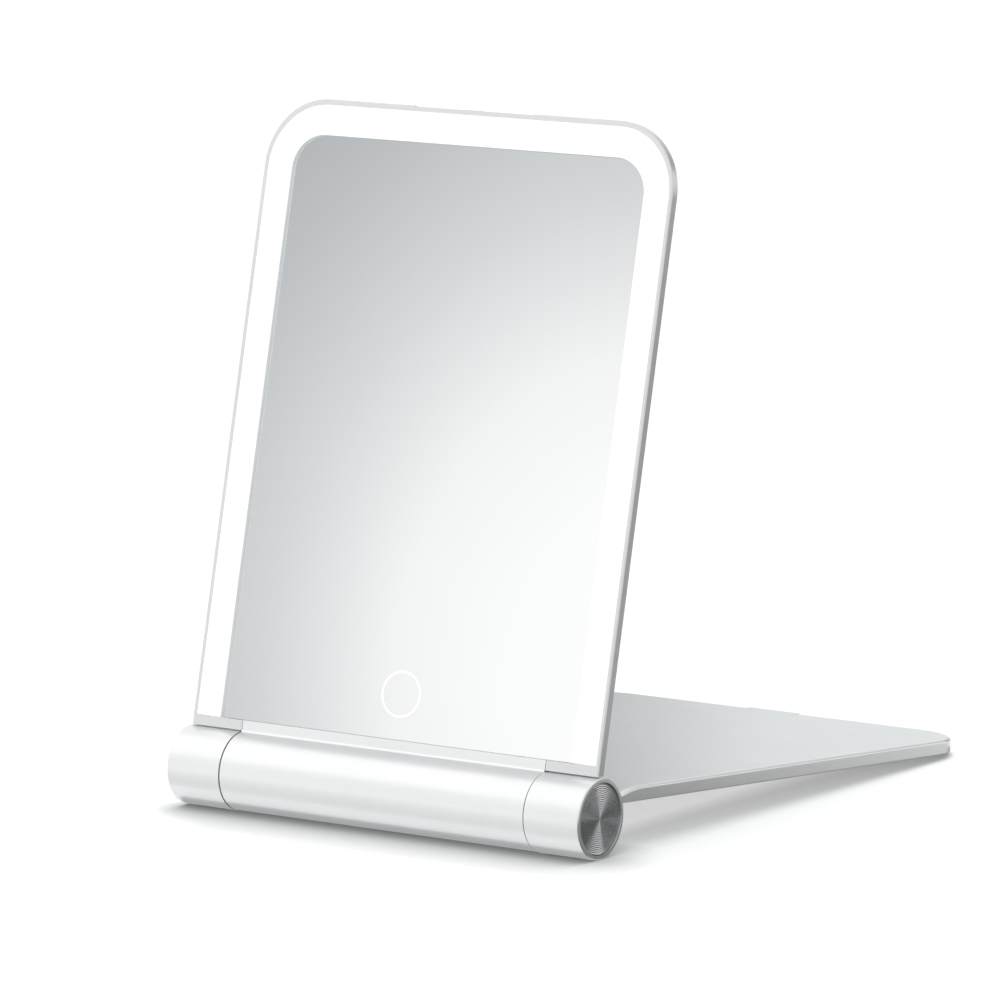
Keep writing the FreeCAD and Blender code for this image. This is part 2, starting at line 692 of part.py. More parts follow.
def mirror_tray():
    """Thin tray: rim, back wall, and corner blocks that hide the light sources."""
    body = new_body("mirror_tray", PANEL)
    root = "barrel_radius - panel_thickness"
    plate = sketch(body, "XZ_Plane")
    arched(plate, "half_width", root, "panel_top", "panel_corner")
    pad(body, plate, "panel_thickness")

    def on_outline(edge):
        """True for the front and back edges of the panel's outline, but not along its bottom."""
        box = edge.BoundBox
        low = box.XLength > worth("half_width") and box.ZMax < worth("panel_top / 2")
        return box.YLength < HAIR and not low

    chamfer(body, "panel_edge", on_outline)
    well = sketch(body, "XZ_Plane", "panel_thickness")
    arched(well, "inner_half", "sill", "inner_top", "inner_corner")
    pocket(body, well, "panel_thickness - tray_floor")
    opening = sketch(body, "XZ_Plane", "panel_thickness")
    rectangle(opening, "-(center_half + border_gap)", root, "center_half + border_gap", "sill + border_gap")
    pocket(body, opening, "panel_thickness - tray_floor")
    sources = sketch(body, "XZ_Plane", "panel_thickness - border_lip")
    both_sides(sources, "led_start", "led_floor", "inner_half", "sill + border_gap")
    pocket(body, sources, "panel_thickness - border_lip - tray_floor")
    discs = sketch(body, "XZ_Plane", "tray_floor")
    for side in ("latch_side", "-latch_side"):
        circle(discs, side, "latch_height", "latch_radius + latch_gap")
    pocket(body, discs, "latch_thickness + fit_gap")
    sweep = sketch(body, "YZ_Plane", "panel_width")
    circle(sweep, "0", "0", "sweep_radius")
    pocket(body, sweep, "2 * panel_width")
    scoop = sketch(body, "XZ_Plane", "2 * panel_thickness")
    floor = "panel_top - scoop_depth"
    crest = f"{floor} + nub_height"
    above = "panel_top + panel_thickness"
    outline(scoop, [("-scoop_half", floor), ("-nub_half", floor), ("-nub_half", crest),
                    ("nub_half", crest), ("nub_half", floor), ("scoop_half", floor),
                    ("scoop_half", above), ("-scoop_half", above)])
    pocket(body, scoop, "3 * panel_thickness")


def three_sided_band(label, level, thickness, inset):
    """A band round the sides and top of the mirror, inset from the tray's rim and the mirror."""
    body = new_body(label, PANEL)
    outer = sketch(body, "XZ_Plane", level)
    arched(outer, f"inner_half - {inset}", f"sill + {inset}", f"inner_top - {inset}",
           f"inner_corner - {inset}")
    pad(body, outer, thickness)
    inner = sketch(body, "XZ_Plane", f"{level} + {thickness}")
    arched(inner, f"mirror_half + {inset}", "barrel_radius", f"mirror_top + {inset}",
           f"mirror_corner + {inset}")
    pocket(body, inner, thickness)


def light_guide():
    """Frosted band that shows the light, in front of its white film."""
    three_sided_band("light_guide", "light_back", "panel_thickness - light_recess - light_back", "led_gap")


def reflector_film():
    """White film on the tray's back wall, behind the light band."""
    three_sided_band("reflector_film", "tray_floor", "film_thickness", "2 * led_gap")


def mirror_glass():
    """Mirror plate with a round groove for the touch mark."""
    body = new_body("mirror_glass", PANEL)
    plate = sketch(body, "XZ_Plane", "glass_back")
    arched(plate, "mirror_half", "sill + led_gap", "mirror_top", "mirror_corner")
    pad(body, plate, "glass_thickness")
    groove = sketch(body, "XZ_Plane", "glass_front")
    for sign in "+-":
        circle(groove, "0", "ring_height", f"ring_radius {sign} ring_line / 2")
    pocket(body, groove, "ring_depth")


def touch_ring():
    """Clear inlay in the mirror's groove, level with its face."""
    body = new_body("touch_ring", PANEL)
    drawing = sketch(body, "XZ_Plane", "glass_front - ring_depth + fit_gap")
    for sign in "+-":
        circle(drawing, "0", "ring_height", f"ring_radius {sign} (ring_line / 2 - fit_gap)")
    pad(body, drawing, "ring_depth - fit_gap")


def mirror_tape():
    """Bond behind the mirror, above the touch electrode."""
    body = new_body("mirror_tape", PANEL)
    drawing = sketch(body, "XZ_Plane", "tray_floor")
    arched(drawing, "mirror_half - tape_margin", "ring_height + electrode_radius + tape_margin",
           "mirror_top - tape_margin", "mirror_corner - tape_margin")
    pad(body, drawing, "glass_bed - fit_gap")


def touch_flex():
    """Film with the touch electrode, a strip to both light boards and a tail into the barrel."""
    body = new_body("touch_flex", PANEL)
    strip_end = "mirror_half - tape_margin"
    low = "sill + flex_rise"
    strip_top = f"{low} + flex_strip"
    runs = (
        (f"-({strip_end})", low, strip_end, strip_top),
        ("-flex_neck / 2", low, "flex_neck / 2", "ring_height"),
        ("tail_start", "tail_end", "tail_stop", strip_top),
        ("led_start + tape_margin", "led_floor + led_gap", strip_end, strip_top),
        (f"-({strip_end})", "led_floor + led_gap", "-(led_start + tape_margin)", strip_top),
    )
    for run in runs:
        drawing = sketch(body, "XZ_Plane", "tray_floor")
        rectangle(drawing, *run)
        pad(body, drawing, "flex_thickness")
    electrode = sketch(body, "XZ_Plane", "tray_floor")
    circle(electrode, "0", "ring_height", "electrode_radius")
    pad(body, electrode, "flex_thickness")


def led_board(label):
    """Narrow board on the floor of the corner block."""
    body = new_body(label, PANEL)
    drawing = sketch(body, "XZ_Plane", "led_board_level")
    rectangle(drawing, "led_start + led_gap", "led_floor + fit_gap", "inner_half - led_gap",
              "led_floor + fit_gap + led_board_thickness")
    pad(body, drawing, "led_board_height")
    return body


def led_chips(label):
    """Light sources in a row on their board, under the foot of the light band."""
    body = new_body(label, PANEL)
    drawing = sketch(body, "XZ_Plane", "led_board_level + led_setback")
    low = "led_floor + fit_gap + led_board_thickness"
    for place in range(LED_COUNT):
        middle = f"inner_half - light_side / 2 + {place - (LED_COUNT - 1) / 2} * led_pitch"
        rectangle(drawing, f"{middle} - led_width / 2", low, f"{middle} + led_width / 2",
                  f"{low} + led_height")
    pad(body, drawing, "led_board_height - 2 * led_setback")
    return body


def latch_plates():
    """Two steel discs in the tray's back wall, opposite the magnets when closed."""
    body = new_body("latch_plates", PANEL)
    drawing = sketch(body, "XZ_Plane", "tray_floor - latch_thickness")
    for side in ("latch_side", "-latch_side"):
        circle(drawing, side, "latch_height", "latch_radius")
    pad(body, drawing, "latch_thickness - fit_gap")


# The power and control pieces in the barrel

def battery_cell():
    """Round cell at the left end of the barrel's bore."""
    body = new_body("battery_cell", PANEL)
    drawing = sketch(body, "YZ_Plane", "cell_start")
    circle(drawing, "0", "0", "bore_radius - cell_play")
    pad(body, drawing, "cell_length")


def control_board():
    """Board across the barrel's bore, with the driver chip on its back."""
    body = new_body("control_board", PORT)
    board = sketch(body, "XY_Plane", "board_level - board_thickness")
    rectangle(board, "board_start", "-board_half", "board_stop", "board_half")
    pad(body, board, "board_thickness")
    chip = sketch(body, "XY_Plane", "board_level - board_thickness - chip_height")
    rectangle(chip, "board_middle - chip_size / 2", "-chip_size / 2", "board_middle + chip_size / 2",
              "chip_size / 2")
    pad(body, chip, "chip_height")


def usb_socket():
    """Charging socket that stands on the board, with its contact tongue."""
    body = new_body("usb_socket", PORT)

    def stadium(level, wide, high):
        drawing = sketch(body, "XY_Plane", level)
        rectangle(drawing, f"board_middle - ({wide})", f"-({high})", f"board_middle + ({wide})", high,
                  f"{high} - fit_gap")
        return drawing

    pad(body, stadium("board_level", "socket_width / 2", "socket_height / 2"), "socket_depth")
    mouth = stadium("board_level + socket_depth", "socket_width / 2 - socket_wall",
                    "socket_height / 2 - socket_wall")
    pocket(body, mouth, "socket_depth - socket_floor")
    tongue = sketch(body, "XY_Plane", "board_level")
    rectangle(tongue, "board_middle - tongue_width / 2", "-tongue_height / 2",
              "board_middle + tongue_width / 2", "tongue_height / 2")
    pad(body, tongue, "socket_depth - tongue_set")


base_shell()
base_liner()
closing_magnets()
rear_foot()
pair(knuckle_pad, "knuckle_pad")
pair(friction_bush, "friction_bush")
pair(end_cap, "end_cap")
pair(hinge_pin, "hinge_pin")
pair(barrel_plug, "barrel_plug")
pair(spring_washer, "spring_washer")
pair(hinge_nut, "hinge_nut")
center_barrel()
flange_tape()
mirror_tray()
light_guide()
reflector_film()
mirror_glass()
touch_ring()
mirror_tape()
touch_flex()
pair(led_board, "led_board")
pair(led_chips, "led_chips")
latch_plates()
battery_cell()
control_board()
usb_socket()
doc.recompute()

for item in doc.Objects:
    if {"Invalid", "Error"} & set(item.State):
        raise ValueError(f"{item.Label} failed: {item.State}")
for node in nodes:
    if node.Shape.isNull() or not node.Shape.isValid():
        raise ValueError(f"{node.Label} has no valid shape")

os.makedirs("parts", exist_ok=True)
for node in nodes:
    node.Shape.exportStep(f"parts/{node.Label}.step")
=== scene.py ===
import json
import math

import bpy
import numpy as np
from mathutils import Matrix, Vector


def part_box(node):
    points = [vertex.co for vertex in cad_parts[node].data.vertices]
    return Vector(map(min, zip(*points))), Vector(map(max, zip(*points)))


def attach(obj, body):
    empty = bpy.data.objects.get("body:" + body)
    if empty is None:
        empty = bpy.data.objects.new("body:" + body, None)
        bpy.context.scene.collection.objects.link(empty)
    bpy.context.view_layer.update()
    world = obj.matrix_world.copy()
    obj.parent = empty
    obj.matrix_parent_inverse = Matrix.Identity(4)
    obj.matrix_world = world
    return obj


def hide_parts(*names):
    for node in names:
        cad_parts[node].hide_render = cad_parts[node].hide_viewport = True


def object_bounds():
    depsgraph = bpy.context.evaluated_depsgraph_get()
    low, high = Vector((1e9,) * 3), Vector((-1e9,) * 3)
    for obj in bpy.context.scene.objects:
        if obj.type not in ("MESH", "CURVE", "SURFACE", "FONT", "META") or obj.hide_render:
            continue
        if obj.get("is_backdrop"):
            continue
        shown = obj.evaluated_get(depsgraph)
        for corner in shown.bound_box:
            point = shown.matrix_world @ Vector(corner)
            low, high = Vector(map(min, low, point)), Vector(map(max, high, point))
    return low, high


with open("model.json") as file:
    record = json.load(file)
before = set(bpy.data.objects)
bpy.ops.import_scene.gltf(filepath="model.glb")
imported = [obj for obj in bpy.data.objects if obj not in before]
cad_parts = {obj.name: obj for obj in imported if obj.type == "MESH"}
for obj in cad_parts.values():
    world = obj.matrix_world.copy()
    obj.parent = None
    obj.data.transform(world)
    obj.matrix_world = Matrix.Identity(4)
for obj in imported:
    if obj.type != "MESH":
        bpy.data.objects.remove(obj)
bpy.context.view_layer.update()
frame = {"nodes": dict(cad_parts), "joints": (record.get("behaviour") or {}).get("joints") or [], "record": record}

bl_info = {
    "name": "Folding Travel Mirror",
    "version": (1, 0, 0),
    "blender": (4, 5, 0),
    "location": "View3D > Sidebar > Mirror",
    "description": "Finishes, small pieces and studio for a folding lighted travel mirror",
    "category": "Object",
}

MM = 0.001
HINGE = np.array(frame["joints"][0]["pos_m"])
ACROSS = np.array((1.0, 0.0, 0.0))
# Patches to a metre in the finishes' broad tones
CLOUDS = 60.0


# Places read from the frame

def node_points(name):
    """All corners of a CAD node at rest, as an array of rows (x, y, z)."""
    mesh = frame["nodes"][name].data
    flat = np.empty(3 * len(mesh.vertices))
    mesh.vertices.foreach_get("co", flat)
    return flat.reshape(-1, 3)


def plate_axes(name, outward):
    """Up and out directions of a flat plate that the hinge's axis runs along.

    The plate's normal is the direction in which its corners spread least, turned to the outward
    side, and up is the normal turned a quarter about the hinge's axis.
    """
    points = node_points(name)
    spread = np.linalg.svd(points - points.mean(axis=0), full_matrices=False)[2]
    out = spread[2] * np.sign(spread[2] @ np.array(outward))
    up = np.cross(out, ACROSS)
    return up, out


PANEL_UP, PANEL_OUT = plate_axes("mirror_glass", (0.0, -1.0, 0.0))
STAND_OUT, STAND_UP = plate_axes("base_liner", (0.0, 0.0, 1.0))
STAND_OUT = -STAND_OUT if STAND_OUT[1] < 0 else STAND_OUT


def on_panel(x, up, out):
    """Points in the panel's frame: x along the hinge, up the panel and out of the mirror."""
    x, up, out = np.broadcast_arrays(x, up, out)
    return HINGE + x[..., None] * ACROSS + up[..., None] * PANEL_UP + out[..., None] * PANEL_OUT


def panel_box(name):
    """Lowest and highest x, up and out of a CAD node in the panel's frame."""
    away = node_points(name) - HINGE
    local = away @ np.stack((ACROSS, PANEL_UP, PANEL_OUT), axis=1)
    return local.min(axis=0), local.max(axis=0)


def stand_box(name):
    """Lowest and highest x, out and up of a CAD node in the stand's frame."""
    away = node_points(name) - HINGE
    local = away @ np.stack((ACROSS, STAND_OUT, STAND_UP), axis=1)
    return local.min(axis=0), local.max(axis=0)


# Meshes from arrays

def strip_faces(rows, columns, closed_columns=False):
    """Quads of a grid of points numbered row by row, with its columns closed on themselves or not."""
    last_column = columns if closed_columns else columns - 1
    column = np.arange(last_column)[None, :]
    after = (column + 1) % columns
    below = np.arange(rows - 1)[:, None] * columns
    above = below + columns
    quads = np.stack((below + column, below + after, above + after, above + column), axis=-1)
    return quads.reshape(-1, 4)


def add_piece(name, points, faces, uv=None, smooth=True):
    """A mesh object at the origin from points, a list of face index lists, and uv per point."""
    mesh = bpy.data.meshes.new(name)
    mesh.from_pydata(np.asarray(points).tolist(), [], faces)
    mesh.polygons.foreach_set("use_smooth", np.full(len(mesh.polygons), smooth))
    if uv is not None:
        corner = np.empty(len(mesh.loops), dtype=np.int32)
        mesh.loops.foreach_get("vertex_index", corner)
        mesh.uv_layers.new(name="Surface").data.foreach_set("uv", np.asarray(uv)[corner].ravel())
    mesh.validate()
    mesh.update()
    piece = bpy.data.objects.new(name, mesh)
    bpy.context.scene.collection.objects.link(piece)
    return piece


def finish_piece(piece, body, slot, material, *nodes):
    """Give a new piece its material and body, and let it stand for the CAD nodes named; the slot is not used."""
    piece.data.materials.append(material)
    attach(piece, body)
    if nodes:
        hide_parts(*nodes)


def sharpen(piece, degrees):
    """Keep edges sharper than an angle crisp."""
    piece.data.set_sharp_from_angle(angle=math.radians(degrees))


# Shader nodes

def feed(tree, value, socket):
    """Link another socket to a socket, or set a plain value on it."""
    if isinstance(value, bpy.types.NodeSocket):
        tree.links.new(value, socket)
    else:
        socket.default_value = value


def calculate(tree, operation, first, second):
    """A Math node's result from two sockets or numbers."""
    node = tree.nodes.new("ShaderNodeMath")
    node.operation = operation
    feed(tree, first, node.inputs[0])
    feed(tree, second, node.inputs[1])
    return node.outputs["Value"]


def mix(tree, share, first, second):
    """The first number where the share is 0, the second where it is 1."""
    node = tree.nodes.new("ShaderNodeMix")
    for name, value in (("Factor", share), ("A", first), ("B", second)):
        feed(tree, value, node.inputs[name])
    return node.outputs["Result"]


def between(tree, source, span, values):
    """A socket's numbers over a span turned evenly into numbers between two values."""
    node = tree.nodes.new("ShaderNodeMapRange")
    tree.links.new(source, node.inputs["Value"])
    for name, value in zip(("From Min", "From Max", "To Min", "To Max"), (*span, *values)):
        feed(tree, value, node.inputs[name])
    return node.outputs["Result"]


def ramp(tree, factor, stops):
    """Colours at places between 0 and 1 of a factor."""
    node = tree.nodes.new("ShaderNodeValToRGB")
    band = node.color_ramp
    while len(band.elements) < len(stops):
        band.elements.new(1.0)
    for element, (place, colour) in zip(band.elements, stops):
        element.position = place
        element.color = (*colour, 1.0)
    tree.links.new(factor, node.inputs["Fac"])
    return node.outputs["Color"]


def apart(tree, space="Object"):
    """X, Y and Z of the piece's own coordinates, or of its surface's."""
    coordinates = tree.nodes.new("ShaderNodeTexCoord")
    node = tree.nodes.new("ShaderNodeSeparateXYZ")
    tree.links.new(coordinates.outputs[space], node.inputs["Vector"])
    return node.outputs


# Finishes

class Finish:
    """A node material around one Principled shader, with helpers for its patterns."""

    # The part of a noise's range that most of its values fall in
    MIDDLE = (0.3, 0.7)

    def __init__(self, name, colour, metallic, roughness):
        self.material = bpy.data.materials.new(name)
        self.material.use_nodes = True
        self.tree = self.material.node_tree
        self.shader = self.tree.nodes["Principled BSDF"]
        self.set("Base Color", (*colour, 1.0))
        self.set("Metallic", metallic)
        self.set("Roughness", roughness)
        self.coordinates = self.tree.nodes.new("ShaderNodeTexCoord")

    def set(self, socket, value):
        """Set a value all over the surface."""
        self.shader.inputs[socket].default_value = value

    def link(self, source, socket):
        """Let a pattern drive a socket of the shader."""
        self.tree.links.new(source, self.shader.inputs[socket])

    def noise(self, scale, space="Object", stretch=(1.0, 1.0, 1.0)):
        """Noise in the piece's own space or over its surface, stretched along chosen directions."""
        mapping = self.tree.nodes.new("ShaderNodeMapping")
        mapping.inputs["Scale"].default_value = stretch
        texture = self.tree.nodes.new("ShaderNodeTexNoise")
        texture.inputs["Scale"].default_value = scale
        self.tree.links.new(self.coordinates.outputs[space], mapping.inputs["Vector"])
        self.tree.links.new(mapping.outputs["Vector"], texture.inputs["Vector"])
        return texture.outputs["Fac"]

    def spread(self, factor, low, high):
        """A noise's middle range turned into numbers from low to high."""
        return between(self.tree, factor, self.MIDDLE, (low, high))

    def bump(self, factor, depth, strength):
        """Relief of a depth that follows a factor."""
        node = self.tree.nodes.new("ShaderNodeBump")
        node.inputs["Distance"].default_value = depth
        node.inputs["Strength"].default_value = strength
        self.tree.links.new(factor, node.inputs["Height"])
        self.link(node.outputs["Normal"], "Normal")

    def tones(self, factor, colour, swing):
        """Base colour that sways a little around its mean."""
        darker = tuple(channel * (1.0 - swing) for channel in colour)
        lighter = tuple(min(channel * (1.0 + swing), 1.0) for channel in colour)
        stops = tuple(zip(self.MIDDLE, (darker, lighter)))
        self.link(ramp(self.tree, factor, stops), "Base Color")


def grained(name, colour, metallic, roughness, grain, swing=0.02, depth=0.01, strength=0.2,
            gloss_swing=0.05):
    """A finish with fine grain in its colour, gloss and relief.

    The grain's size and the relief's depth are in millimetres, the swings are shares.
    """
    finish = Finish(name, colour, metallic, roughness)
    cloud = finish.noise(CLOUDS)
    fine = finish.noise(1.0 / (grain * MM))
    finish.tones(cloud, colour, swing)
    finish.link(finish.spread(fine, roughness - gloss_swing, roughness + gloss_swing), "Roughness")
    finish.bump(fine, depth * MM, strength)
    return finish


def dress(finish, *names):
    """Put a finish on CAD nodes."""
    for name in names:
        mesh = frame["nodes"][name].data
        mesh.materials.clear()
        mesh.materials.append(finish.material)


def both(name):
    """The names of a piece's left and right copies."""
    return name + "_left", name + "_right"


# Settings that a user would change

class HousingSettings(bpy.types.PropertyGroup):
    """Finish of the aluminium housing."""
    colour: bpy.props.FloatVectorProperty(
        name="Silver", description="Colour of the anodised housing", subtype="COLOR",
        default=(0.83, 0.835, 0.84), min=0.0, max=1.0)
    # The tray's silver is a darker copy of the housing's: painted shade on the tray's rim and side
    tray: bpy.props.FloatVectorProperty(
        name="Tray Silver", description="Colour of the panel's thin tray", subtype="COLOR",
        default=(0.71, 0.715, 0.72), min=0.0, max=1.0)
    metallic: bpy.props.FloatProperty(
        name="Metallic", description="How metallic the anodised surface is",
        default=0.72, min=0.0, max=1.0)
    roughness: bpy.props.FloatProperty(
        name="Roughness", description="Blur of its reflections", default=0.32, min=0.0, max=1.0)
    grain: bpy.props.FloatProperty(
        name="Grain", description="Size of the blasted grain in millimetres", default=0.22, min=0.01)


class LightSettings(bpy.types.PropertyGroup):
    """Light band round the mirror and the lit touch mark."""
    corner: bpy.props.FloatProperty(
        name="Inner Corner", description="Radius of the band's inner corners",
        default=9.55 * MM, unit="LENGTH")
    edge: bpy.props.FloatProperty(
        name="Edge", description="Rounding of the band's edges", default=0.22 * MM, unit="LENGTH")
    colour: bpy.props.FloatVectorProperty(
        name="Light", description="Colour of the light", subtype="COLOR",
        default=(1.0, 1.0, 1.0), min=0.0, max=1.0)
    strength: bpy.props.FloatProperty(
        name="Strength", description="Glow of the band's face", default=0.74, min=0.0)
    # The inner wall's weaker glow, with the plastic's grey, is painted shade there; the face's glow is the band's
    # own light
    wall: bpy.props.FloatVectorProperty(
        name="Wall", description="Colour of the band's plastic without its glow", subtype="COLOR",
        default=(0.5, 0.52, 0.53), min=0.0, max=1.0)
    wall_glow_painted_shade: bpy.props.FloatProperty(
        name="Wall Glow", description="Glow of the band's inner wall as a share of its face's",
        default=0.36, min=0.0, max=1.0)


class DiscSettings(bpy.types.PropertyGroup):
    """Turned discs in the barrel's ends."""
    grooves: bpy.props.IntProperty(
        name="Grooves", description="Turned grooves from centre to edge", default=19, min=1)
    depth: bpy.props.FloatProperty(
        name="Depth", description="Depth of a groove", default=0.09 * MM, unit="LENGTH")
    edge: bpy.props.FloatProperty(
        name="Edge", description="Rounding of the disc's edge", default=0.2 * MM, unit="LENGTH")
    gap: bpy.props.FloatProperty(
        name="Gap", description="Gap round the disc", default=0.2 * MM, unit="LENGTH")
    colour: bpy.props.FloatVectorProperty(
        name="Metal", description="Colour of the turned metal", subtype="COLOR",
        default=(0.78, 0.79, 0.8), min=0.0, max=1.0)


class RubberSettings(bpy.types.PropertyGroup):
    """Rubber that the part stands on."""
    edge: bpy.props.FloatProperty(
        name="Edge", description="Rounding of the rubber's edges", default=0.35 * MM, unit="LENGTH")
    colour: bpy.props.FloatVectorProperty(
        name="Rubber", description="Colour of the rubber", subtype="COLOR",
        default=(0.42, 0.43, 0.44), min=0.0, max=1.0)


class StageSettings(bpy.types.PropertyGroup):
    """Camera, floor and soft light."""
    target: bpy.props.FloatVectorProperty(
        name="Target", description="Point in the middle of the picture", subtype="TRANSLATION",
        default=(16.476 * MM, -63.698 * MM, 86.122 * MM))
    distance: bpy.props.FloatProperty(
        name="Distance", description="Camera to target", default=1.96358, unit="LENGTH")
    azimuth: bpy.props.FloatProperty(
        name="Azimuth", description="Camera round to the right of the front",
        default=math.radians(34.385), subtype="ANGLE")
    elevation: bpy.props.FloatProperty(
        name="Elevation", description="Camera above the horizon",
        default=math.radians(8.661), subtype="ANGLE")
    roll: bpy.props.FloatProperty(
        name="Roll", description="Camera's tilt about its view", default=math.radians(0.326),
        subtype="ANGLE")
    lens: bpy.props.FloatProperty(
        name="Lens", description="Focal length in millimetres on a 36 mm sensor", default=269.93)
    floor: bpy.props.FloatVectorProperty(
        name="Floor", description="Colour of the floor", subtype="COLOR",
        default=(0.43, 0.45, 0.445), min=0.0, max=1.0)
    floor_glow: bpy.props.FloatProperty(
        name="Floor Glow", description="White that the floor shows beyond its lit colour", default=0.62)
    floor_gloss: bpy.props.FloatProperty(
        name="Floor Gloss", description="The same white as metal and glass show it", default=0.7)
    # The contact settings shape the floor's painted contact shadow
    contact: bpy.props.FloatProperty(
        name="Contact", description="Reach of the floor's shade in front of the barrel",
        default=22.0 * MM, unit="LENGTH")
    contact_under: bpy.props.FloatProperty(
        name="Contact Under", description="Reach of the floor's shade under the stand's root",
        default=15.0 * MM, unit="LENGTH")
    contact_far: bpy.props.FloatProperty(
        name="Contact Far", description="Reach of the floor's shade under the stand's far edge",
        default=1.0 * MM, unit="LENGTH")
    contact_shade: bpy.props.FloatProperty(
        name="Contact Shade", description="Share of the floor's white left where it is covered",
        default=0.22, min=0.0, max=1.0)
    light_from: bpy.props.FloatVectorProperty(
        name="Light From", description="Side that the soft light is strongest from",
        subtype="DIRECTION", default=(-0.45, -0.2, 0.87))
    dimmest: bpy.props.FloatProperty(
        name="Dimmest", description="Light from the far side", default=0.0, min=0.0)
    brightest: bpy.props.FloatProperty(
        name="Brightest", description="Light from the strongest side", default=1.36, min=0.0)


# Pieces

class TRAVEL_OT_housing(bpy.types.Operator):
    """Give the stand, the barrel and the tray their satin anodised finish"""
    bl_idname = "travel_mirror.housing"
    bl_label = "Dress Housing"

    def execute(self, context):
        look = context.scene.mirror_housing
        # The tray gets a darker, shaded copy of the same finish as painted shade
        for name, colour, nodes in (("satin_anodised", look.colour, ("base_shell", "center_barrel")),
                                    ("satin_tray", look.tray, ("mirror_tray",))):
            finish = grained(name, tuple(colour), look.metallic, look.roughness, look.grain,
                             swing=0.012, depth=0.002, strength=0.04, gloss_swing=0.02)
            dress(finish, *nodes)
        return {"FINISHED"}


def arch(half, low, top, radius, steps):
    """An upright arch line: up the left side, round two corners and down the right side.

    The corners are quarter circles. Returns x and height at 2 * steps + 4 stations, which fall on
    the same parts of the line for every arch with the same steps.
    """
    turn = np.linspace(0.0, math.pi / 2, steps + 1)
    left = np.stack((radius - half - radius * np.cos(turn), top - radius + radius * np.sin(turn)))
    right = np.stack((-left[0, ::-1], left[1, ::-1]))
    start = np.array([[-half], [low]])
    stop = np.array([[half], [low]])
    return np.concatenate((start, left, right, stop), axis=1)


class TRAVEL_OT_light_band(bpy.types.Operator):
    """Build the frosted light band as a rounded section carried round the mirror's arch"""
    bl_idname = "travel_mirror.light_band"
    bl_label = "Build Light Band"

    CORNER_STEPS = 24
    EDGE_STEPS = 4
    CRISP_FROM = 40.0
    # Where the inner wall's glow, dimmed as painted shade, passes into the face's, as shares of the way out or
    # across
    LIT_FROM = (0.9, 0.99)

    def section(self, width, back, front, edge):
        """Across the band from its inner to its outer back edge, with round front edges.

        The edges are quarter circles. Returns the share of the width and the height out.
        """
        turn = np.linspace(0.0, math.pi / 2, self.EDGE_STEPS + 1)
        inner = np.stack((edge - edge * np.cos(turn), front - edge + edge * np.sin(turn)))
        outer = np.stack((width - inner[0, ::-1], inner[1, ::-1]))
        feet = np.array([[0.0, width], [back, back]])
        loop = np.concatenate((feet[:, :1], inner, outer, feet[:, 1:]), axis=1)
        return loop[0] / width, loop[1]

    def execute(self, context):
        look = context.scene.mirror_light
        low, high = panel_box("light_guide")
        glass_high = panel_box("mirror_glass")[1]
        play = frame_gap()
        half, top = glass_high[0] + play, glass_high[1] + play
        width = high[0] - half
        inner = arch(half, low[1], top, look.corner, self.CORNER_STEPS)
        outer = arch(high[0], low[1], high[1], look.corner + width, self.CORNER_STEPS)
        share, height = self.section(width, low[2], high[2], look.edge)
        line = inner[:, :, None] * (1.0 - share) + outer[:, :, None] * share
        rows, columns = line.shape[1:]
        points = on_panel(line[0], line[1], height[None, :])
        faces = strip_faces(rows, columns, closed_columns=True)[:, ::-1].tolist()
        faces.append(list(range(columns)))
        faces.append(list(range(rows * columns - 1, (rows - 1) * columns - 1, -1)))
        across = np.broadcast_to(share, (rows, columns))
        out = np.broadcast_to((height - low[2]) / (high[2] - low[2]), (rows, columns))
        uv = np.stack((across, out), axis=-1).reshape(-1, 2)
        piece = add_piece("light_band", points.reshape(-1, 3), faces, uv)
        sharpen(piece, self.CRISP_FROM)
        finish_piece(piece, "mirror", "frosted_light", self.frosted(look).material, "light_guide")
        return {"FINISHED"}

    def frosted(self, look):
        """Frosted plastic that glows on its face and outer edge, and less on its inner wall as painted shade
        there.
        """
        finish = grained("frosted_diffuser", tuple(look.wall), metallic=0.0, roughness=0.45,
                         grain=0.3, depth=0.003)
        surface = apart(finish.tree, "UV")
        face = calculate(finish.tree, "MAXIMUM", surface["X"], surface["Y"])
        lit = tuple(look.colour)
        dim = tuple(look.wall_glow_painted_shade * channel for channel in lit)
        stops = tuple(zip(self.LIT_FROM, (dim, lit)))
        finish.link(ramp(finish.tree, face, stops), "Emission Color")
        finish.set("Emission Strength", look.strength)
        return finish


def frame_gap():
    """Play between the mirror plate and the light guide's lower ends."""
    level_within = 0.1 * MM
    points = node_points("light_guide")
    up = (points - HINGE) @ PANEL_UP
    ends = points[up < up.min() + level_within]
    return np.abs(ends[:, 0]).min() - panel_box("mirror_glass")[1][0]


class TRAVEL_OT_mirror_face(bpy.types.Operator):
    """Silver the mirror plate and light the touch mark in it"""
    bl_idname = "travel_mirror.mirror_face"
    bl_label = "Dress Mirror"

    SILVER = (0.97, 0.975, 0.98)
    HAZE_SCALE = 25.0
    MARK_GLOW = 0.5

    def execute(self, context):
        look = context.scene.mirror_light
        silver = Finish("silvered_glass", self.SILVER, metallic=1.0, roughness=0.01)
        haze = silver.noise(self.HAZE_SCALE)
        silver.link(silver.spread(haze, low=0.005, high=0.02), "Roughness")
        silver.tones(haze, self.SILVER, swing=0.004)
        dress(silver, "mirror_glass")
        mark = grained("lit_touch_mark", (0.96, 0.96, 0.96), metallic=0.0, roughness=0.3, grain=0.2,
                       depth=0.002)
        mark.set("Emission Color", (*look.colour, 1.0))
        mark.set("Emission Strength", self.MARK_GLOW * look.strength)
        dress(mark, "touch_ring")
        return {"FINISHED"}


